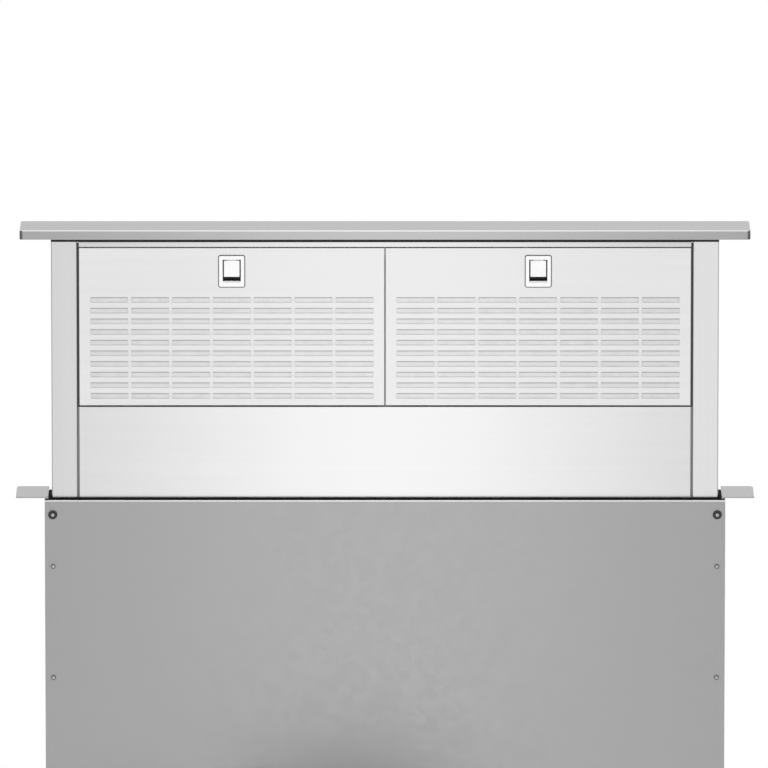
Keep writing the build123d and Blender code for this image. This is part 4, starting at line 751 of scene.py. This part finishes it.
def lead_screw(side):
    """Thread from the bevelled top down to the journal, then a plain journal to its foot."""
    node = f"lead_screw_{side}"
    low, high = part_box(node)
    heights = np.append(np.arange(JOURNAL_TOP, high.z, RING_STEP), high.z)
    z, angle = np.meshgrid(heights, full_turn(RING_POINTS), indexing="ij")
    bevel = SCREW_BEVEL - np.clip(high.z - z, 0, SCREW_BEVEL)
    radius = np.minimum(thread_radius(z, angle), SCREW_RADIUS - bevel)
    foot_heights = [low.z, JOURNAL_TOP - SHOULDER_HEIGHT]
    foot_z, foot_angle = np.meshgrid(foot_heights, full_turn(RING_POINTS), indexing="ij")
    radius = np.vstack([np.full_like(foot_z, JOURNAL_RADIUS), radius])
    z, angle = np.vstack([foot_z, z]), np.vstack([foot_angle, angle])
    x = (low.x + high.x) / 2 + radius * np.cos(angle)
    piece = tube(f"threaded_screw_{side}", np.stack([x, radius * np.sin(angle), z], axis=-1), bright_zinc)
    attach(piece, node)
    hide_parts(node)
    return piece


make_both(lead_screw)

# %% [markdown]
# ## Catch springs
# A little coil under each button pushes the catch up again. A coil is a circle carried along a helix. The
# wire climbs so little in a turn that its circle can stand upright, in the plane through the coil's axis. The
# end turns lie closed, so the height climbs slowly at both ends and quickly between.

# %% Catch springs
WIRE_RADIUS = 0.22 * MM
WIRE_POINTS = 8
COIL_TURNS = 7
COIL_STEPS = 26
COIL_CLOSING = 0.10  # below 1 / (2 pi), at which the end turns would lie flat


def catch_spring(side):
    """A wire ring carried along a helix whose climb eases in and out at the closed ends."""
    node = f"latch_spring_{side}"
    low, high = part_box(node)
    centre = (np.array(low) + np.array(high)) / 2
    coil_radius = (high.x - low.x) / 2 - WIRE_RADIUS
    share = np.linspace(0, 1, COIL_TURNS * COIL_STEPS + 1)
    turn = share * COIL_TURNS * 2 * np.pi
    climb = share - COIL_CLOSING * np.sin(2 * np.pi * share)
    height = low.z + WIRE_RADIUS + climb * (high.z - low.z - 2 * WIRE_RADIUS)
    out = np.stack([np.cos(turn), np.sin(turn), np.zeros_like(turn)], axis=-1)
    up = np.array([0.0, 0.0, 1.0])
    line = np.array([centre[0], centre[1], 0.0]) + out * coil_radius + height[:, None] * up
    ring = full_turn(WIRE_POINTS)[None, :, None]
    points = line[:, None, :] + WIRE_RADIUS * (np.cos(ring) * out[:, None, :] - np.sin(ring) * up)
    piece = tube(f"coil_spring_{side}", points, dark_spring)
    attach(piece, f"filter_{side}")
    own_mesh(piece)
    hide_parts(node)
    return piece


make_both(catch_spring)

# %% [markdown]
# ## Filter screens
# A flat sheet of the same expanded metal lies in front of the folded core, right behind the slots. It is
# what the slots show. A sheet that is only a plane has no thickness to catch the light at a slot's edge, so
# it is a closed slab a quarter of a millimetre thick. Its two faces wave a little, as stretched foil does.

# %% Filter screens
SCREEN_GAP = 0.15 * MM
SCREEN_THICKNESS = 0.25 * MM
SCREEN_WAVE = 0.08 * MM
SCREEN_WAVE_LENGTH = 31.0 * MM
SCREEN_MARGIN = 2.0 * MM
SCREEN_BELOW_CATCH = 1.0 * MM
SCREEN_COLUMNS = 96


def filter_screen(side):
    """A slab whose rings run round its section: front and back edge points at each column."""
    core_low, core_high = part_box(f"filter_mesh_{side}")
    x = np.linspace(core_low.x + SCREEN_MARGIN, core_high.x - SCREEN_MARGIN, SCREEN_COLUMNS)
    wave = SCREEN_WAVE * np.sin(2 * np.pi * x / SCREEN_WAVE_LENGTH)
    front = core_low.y - SCREEN_GAP - SCREEN_THICKNESS - SCREEN_WAVE + wave
    back = front + SCREEN_THICKNESS
    low = np.full_like(x, core_low.z + SCREEN_MARGIN)
    high = np.full_like(x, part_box(f"latch_bezel_{side}")[0].z - SCREEN_BELOW_CATCH)
    section = [(front, low), (back, low), (back, high), (front, high)]
    points = np.stack([np.stack([x, y, z], axis=-1) for y, z in section], axis=1)
    piece = tube(f"filter_screen_{side}", points, screen_foil)
    piece.data.shade_flat()
    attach(piece, f"filter_{side}")
    return piece


make_both(filter_screen)

# %% [markdown]
# ## Seam strips
# Between each column and the panels runs a joint as wide as a pencil line. A rubber strip closes it a little
# below the surface and stands in for the joint's shade as a dark piece, so it is dark over its whole height.
# Its section is a squarish oval carried up the joint: a superellipse, whose power sets how square it is.

# %% Seam strips
SEAM_CLEARANCE = 0.05 * MM
SEAM_RECESS = 1.5 * MM  # below the column's front
SEAM_DEPTH = 2.5 * MM
SEAM_TOP_GAP = 1.3 * MM  # below the column's head
SEAM_FOOT_GAP = 4.0 * MM  # above its foot
SEAM_POWER = 0.5
SEAM_RINGS = 60
SEAM_POINTS = 20


def squarish(wave):
    """A wave raised to the power, with its sign kept."""
    return np.sign(wave) * np.abs(wave) ** SEAM_POWER


def seam_strip(side):
    """Rings of a superellipse, cos and sin raised to a power below one, stacked up the joint."""
    column_low, column_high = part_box(f"tower_column_{side}")
    face_low, face_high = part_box(f"filter_face_{side}")
    joint = (column_high.x, face_low.x) if side == "left" else (face_high.x, column_low.x)
    half_width = (joint[1] - joint[0]) / 2 - SEAM_CLEARANCE
    middle_y = column_low.y + SEAM_RECESS + SEAM_DEPTH / 2
    heights = np.linspace(column_low.z + SEAM_FOOT_GAP, column_high.z - SEAM_TOP_GAP, SEAM_RINGS)
    z, angle = np.meshgrid(heights, full_turn(SEAM_POINTS), indexing="ij")
    x = np.mean(joint) + half_width * squarish(np.cos(angle))
    y = middle_y + SEAM_DEPTH / 2 * squarish(np.sin(angle))
    piece = tube(f"seam_strip_{side}", np.stack([x, y, z], axis=-1), seam_shade_rubber)
    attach(piece, "tower")
    return piece


print("seam strips:", SEAM_RINGS, "rings of", SEAM_POINTS, "points")

# %% [markdown]
# ## Catch beads
# A thin dark bead is let into the rim of each catch's frame, a dark piece that stands in for the shade in
# the gap round the frame. It is a small circle carried round a rectangle with rounded corners. Each step of a
# full turn gives a direction; its signs choose the corner's centre, and the point lies on the corner's circle
# in that direction.

# %% Catch beads
BEAD_RADIUS = 0.65 * MM
BEAD_INSET = 0.5 * MM
BEAD_STEPS = 64
BEAD_POINTS = 10
BEZEL_CORNER = 3.0 * MM


def catch_bead(side):
    """A circle carried round a rectangle whose corners are quarter turns, just inside the frame's edge."""
    low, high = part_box(f"latch_bezel_{side}")
    reach = np.array([(high.x - low.x) / 2, (high.z - low.z) / 2]) - BEZEL_CORNER
    middle = np.array([(high.x + low.x) / 2, (high.z + low.z) / 2])
    turn = full_turn(BEAD_STEPS) + np.pi / BEAD_STEPS
    outward = np.stack([np.cos(turn), np.sin(turn)], axis=-1)
    line = middle + np.sign(outward) * reach + (BEZEL_CORNER - BEAD_INSET) * outward
    ring = full_turn(BEAD_POINTS)
    across = BEAD_RADIUS * np.cos(ring)[None, :, None] * outward[:, None, :]
    x, z = np.moveaxis(line[:, None, :] + across, -1, 0)
    y = np.broadcast_to(low.y + BEAD_RADIUS / 2 + BEAD_RADIUS * np.sin(ring), x.shape)
    faces = ring_faces(BEAD_STEPS + 1, BEAD_POINTS) % (BEAD_STEPS * BEAD_POINTS)
    piece = solid(f"catch_bead_{side}", np.stack([x, y, z], axis=-1), faces.tolist(), bead_shade_plastic)
    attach(piece, f"filter_{side}")
    return piece


make_both(seam_strip, catch_bead)

# %% [markdown]
# ## Floor and world
# The object stands on a pale floor that fades into white, so that it keeps its own shadow and yet has no
# horizon. The world is white to the camera and in every mirror, and a little softer as a lamp.

# %% Floor
FLOOR_HEIGHT = cad_box[0].z
HALF_FLOOR = 15.0
FADE_START = 0.9
FADE_END = 2.4
CORNERS = (-1, -1), (1, -1), (1, 1), (-1, 1)


def flat_sheet(name, corners, finish):
    """A flat sheet between four corner points."""
    mesh = bpy.data.meshes.new(name)
    mesh.from_pydata(corners, [], [(0, 1, 2, 3)])
    mesh.materials.append(finish)
    sheet = bpy.data.objects.new(name, mesh)
    bpy.context.scene.collection.objects.link(sheet)
    return sheet


def floor_finish():
    """Pale floor near the object; white to the camera and in mirrors further out; open from below."""
    finish = new_finish("floor")
    place = finish.coordinates()
    radius = finish.node("ShaderNodeVectorMath", {"operation": "LENGTH"}, {0: place}, output="Value")
    faded = finish.rise(radius, FADE_START, FADE_END) * finish.seen_by("Camera", "Glossy")
    below = finish.node("ShaderNodeNewGeometry", output="Backfacing")
    pale = finish.node("ShaderNodeBsdfPrincipled", values={"Base Color": grey(0.93), "Roughness": 0.9})
    white = finish.node("ShaderNodeEmission", values={"Color": grey(1.0), "Strength": 1.0})
    clear = finish.node("ShaderNodeBsdfTransparent")
    surface = finish.node("ShaderNodeMixShader", values={0: faded, 1: pale, 2: white})
    return finish.end(finish.node("ShaderNodeMixShader", values={0: below, 1: surface, 2: clear}))


floor_corners = [(x * HALF_FLOOR, y * HALF_FLOOR, FLOOR_HEIGHT) for x, y in CORNERS]
flat_sheet("floor", floor_corners, floor_finish())
print("floor at", round(FLOOR_HEIGHT, 3), "m")

# %% World
WORLD_LAMP = 0.62

world = bpy.data.worlds.new("world")
bpy.context.scene.world = world
air = Finish(world)
sky_strength = air.between(WORLD_LAMP, 1.0, air.seen_by("Camera", "Glossy", "Transmission"))
air.end(air.node("ShaderNodeBackground", values={"Color": grey(1.0), "Strength": sky_strength}), "World")
print("world:", WORLD_LAMP, "as a lamp")

# %% [markdown]
# ## Lamps and cards
# Steel shows whatever stands around it, so a steel object is lit by what it mirrors. Lamps give matt things
# their light and shadow, but in brushed steel they would burn out to white, so mirror rays don't see them.
# They see two cards instead, which nothing else sees: one in front, whose grey falls off towards its sides
# and draws the soft fall towards the ends of the tower, and a darker one behind, which the flat tops mirror.

# %% Cards
CARD_MIDDLE = 1.17
CARD_SIDES = 0.76
CARD_FALL = 0.5  # metres from the middle, where the front card has reached its sides' strength
CARD_BEHIND = 0.92
CARD_TILT = 0.02  # rise in strength over a metre to the right


def front_strength(finish):
    """Full in the middle and low at the sides."""
    return CARD_MIDDLE - finish.rise(abs(finish.axis("X")), 0.0, CARD_FALL) * (CARD_MIDDLE - CARD_SIDES)


def back_strength(finish):
    """Even, with a slight rise to the right, as from a window."""
    return CARD_BEHIND + finish.axis("X") * CARD_TILT


def card(name, strength_from, y, half_width, low, high):
    """An upright card across the room that only mirror rays see. Its strength depends on the point."""
    finish = new_finish(name)
    glow = finish.node("ShaderNodeEmission", values={"Color": grey(1.0), "Strength": strength_from(finish)})
    corners = [(x * half_width, y, high if up > 0 else low) for x, up in CORNERS]
    sheet = flat_sheet(name, corners, finish.end(glow))
    for ray in ("camera", "diffuse", "transmission", "volume_scatter", "shadow"):
        setattr(sheet, f"visible_{ray}", False)


card("front_card", front_strength, y=-0.55, half_width=1.6, low=FLOOR_HEIGHT + 0.02, high=0.9)
card("back_card", back_strength, y=1.2, half_width=2.5, low=-0.2, high=1.4)
print("cards:", CARD_MIDDLE, "to", CARD_SIDES, "in front and", CARD_BEHIND, "behind")

# %% Lamps
def direction_angles(direction):
    """Turns that point a lamp, which shines down its own -Z, along a direction."""
    x, y, z = direction / np.linalg.norm(direction)
    return (math.acos(-z), 0.0, math.atan2(y, x) - math.pi / 2)


def lamp(name, place, target, size, watts):
    """A soft rectangular lamp that looks from its place at a target."""
    data = bpy.data.lights.new(name, "AREA")
    data.shape = "RECTANGLE"
    data.size, data.size_y = size
    data.energy = watts
    made = bpy.data.objects.new(name, data)
    made.location = place
    made.rotation_euler = direction_angles(np.array(target) - np.array(place))
    made.visible_camera = False
    made.visible_glossy = False
    bpy.context.scene.collection.objects.link(made)


lamp("front_lamp", place=(0.0, -3.2, 2.2), target=(0, 0, 0.1), size=(2.4, 1.2), watts=60)
lamp("top_lamp", place=(0.0, 0.3, 2.6), target=(0, 0, 0), size=(3.0, 1.6), watts=40)
lamp("rear_lamp", place=(0.6, 3.2, 1.8), target=(0, 0, 0), size=(2.0, 1.2), watts=25)
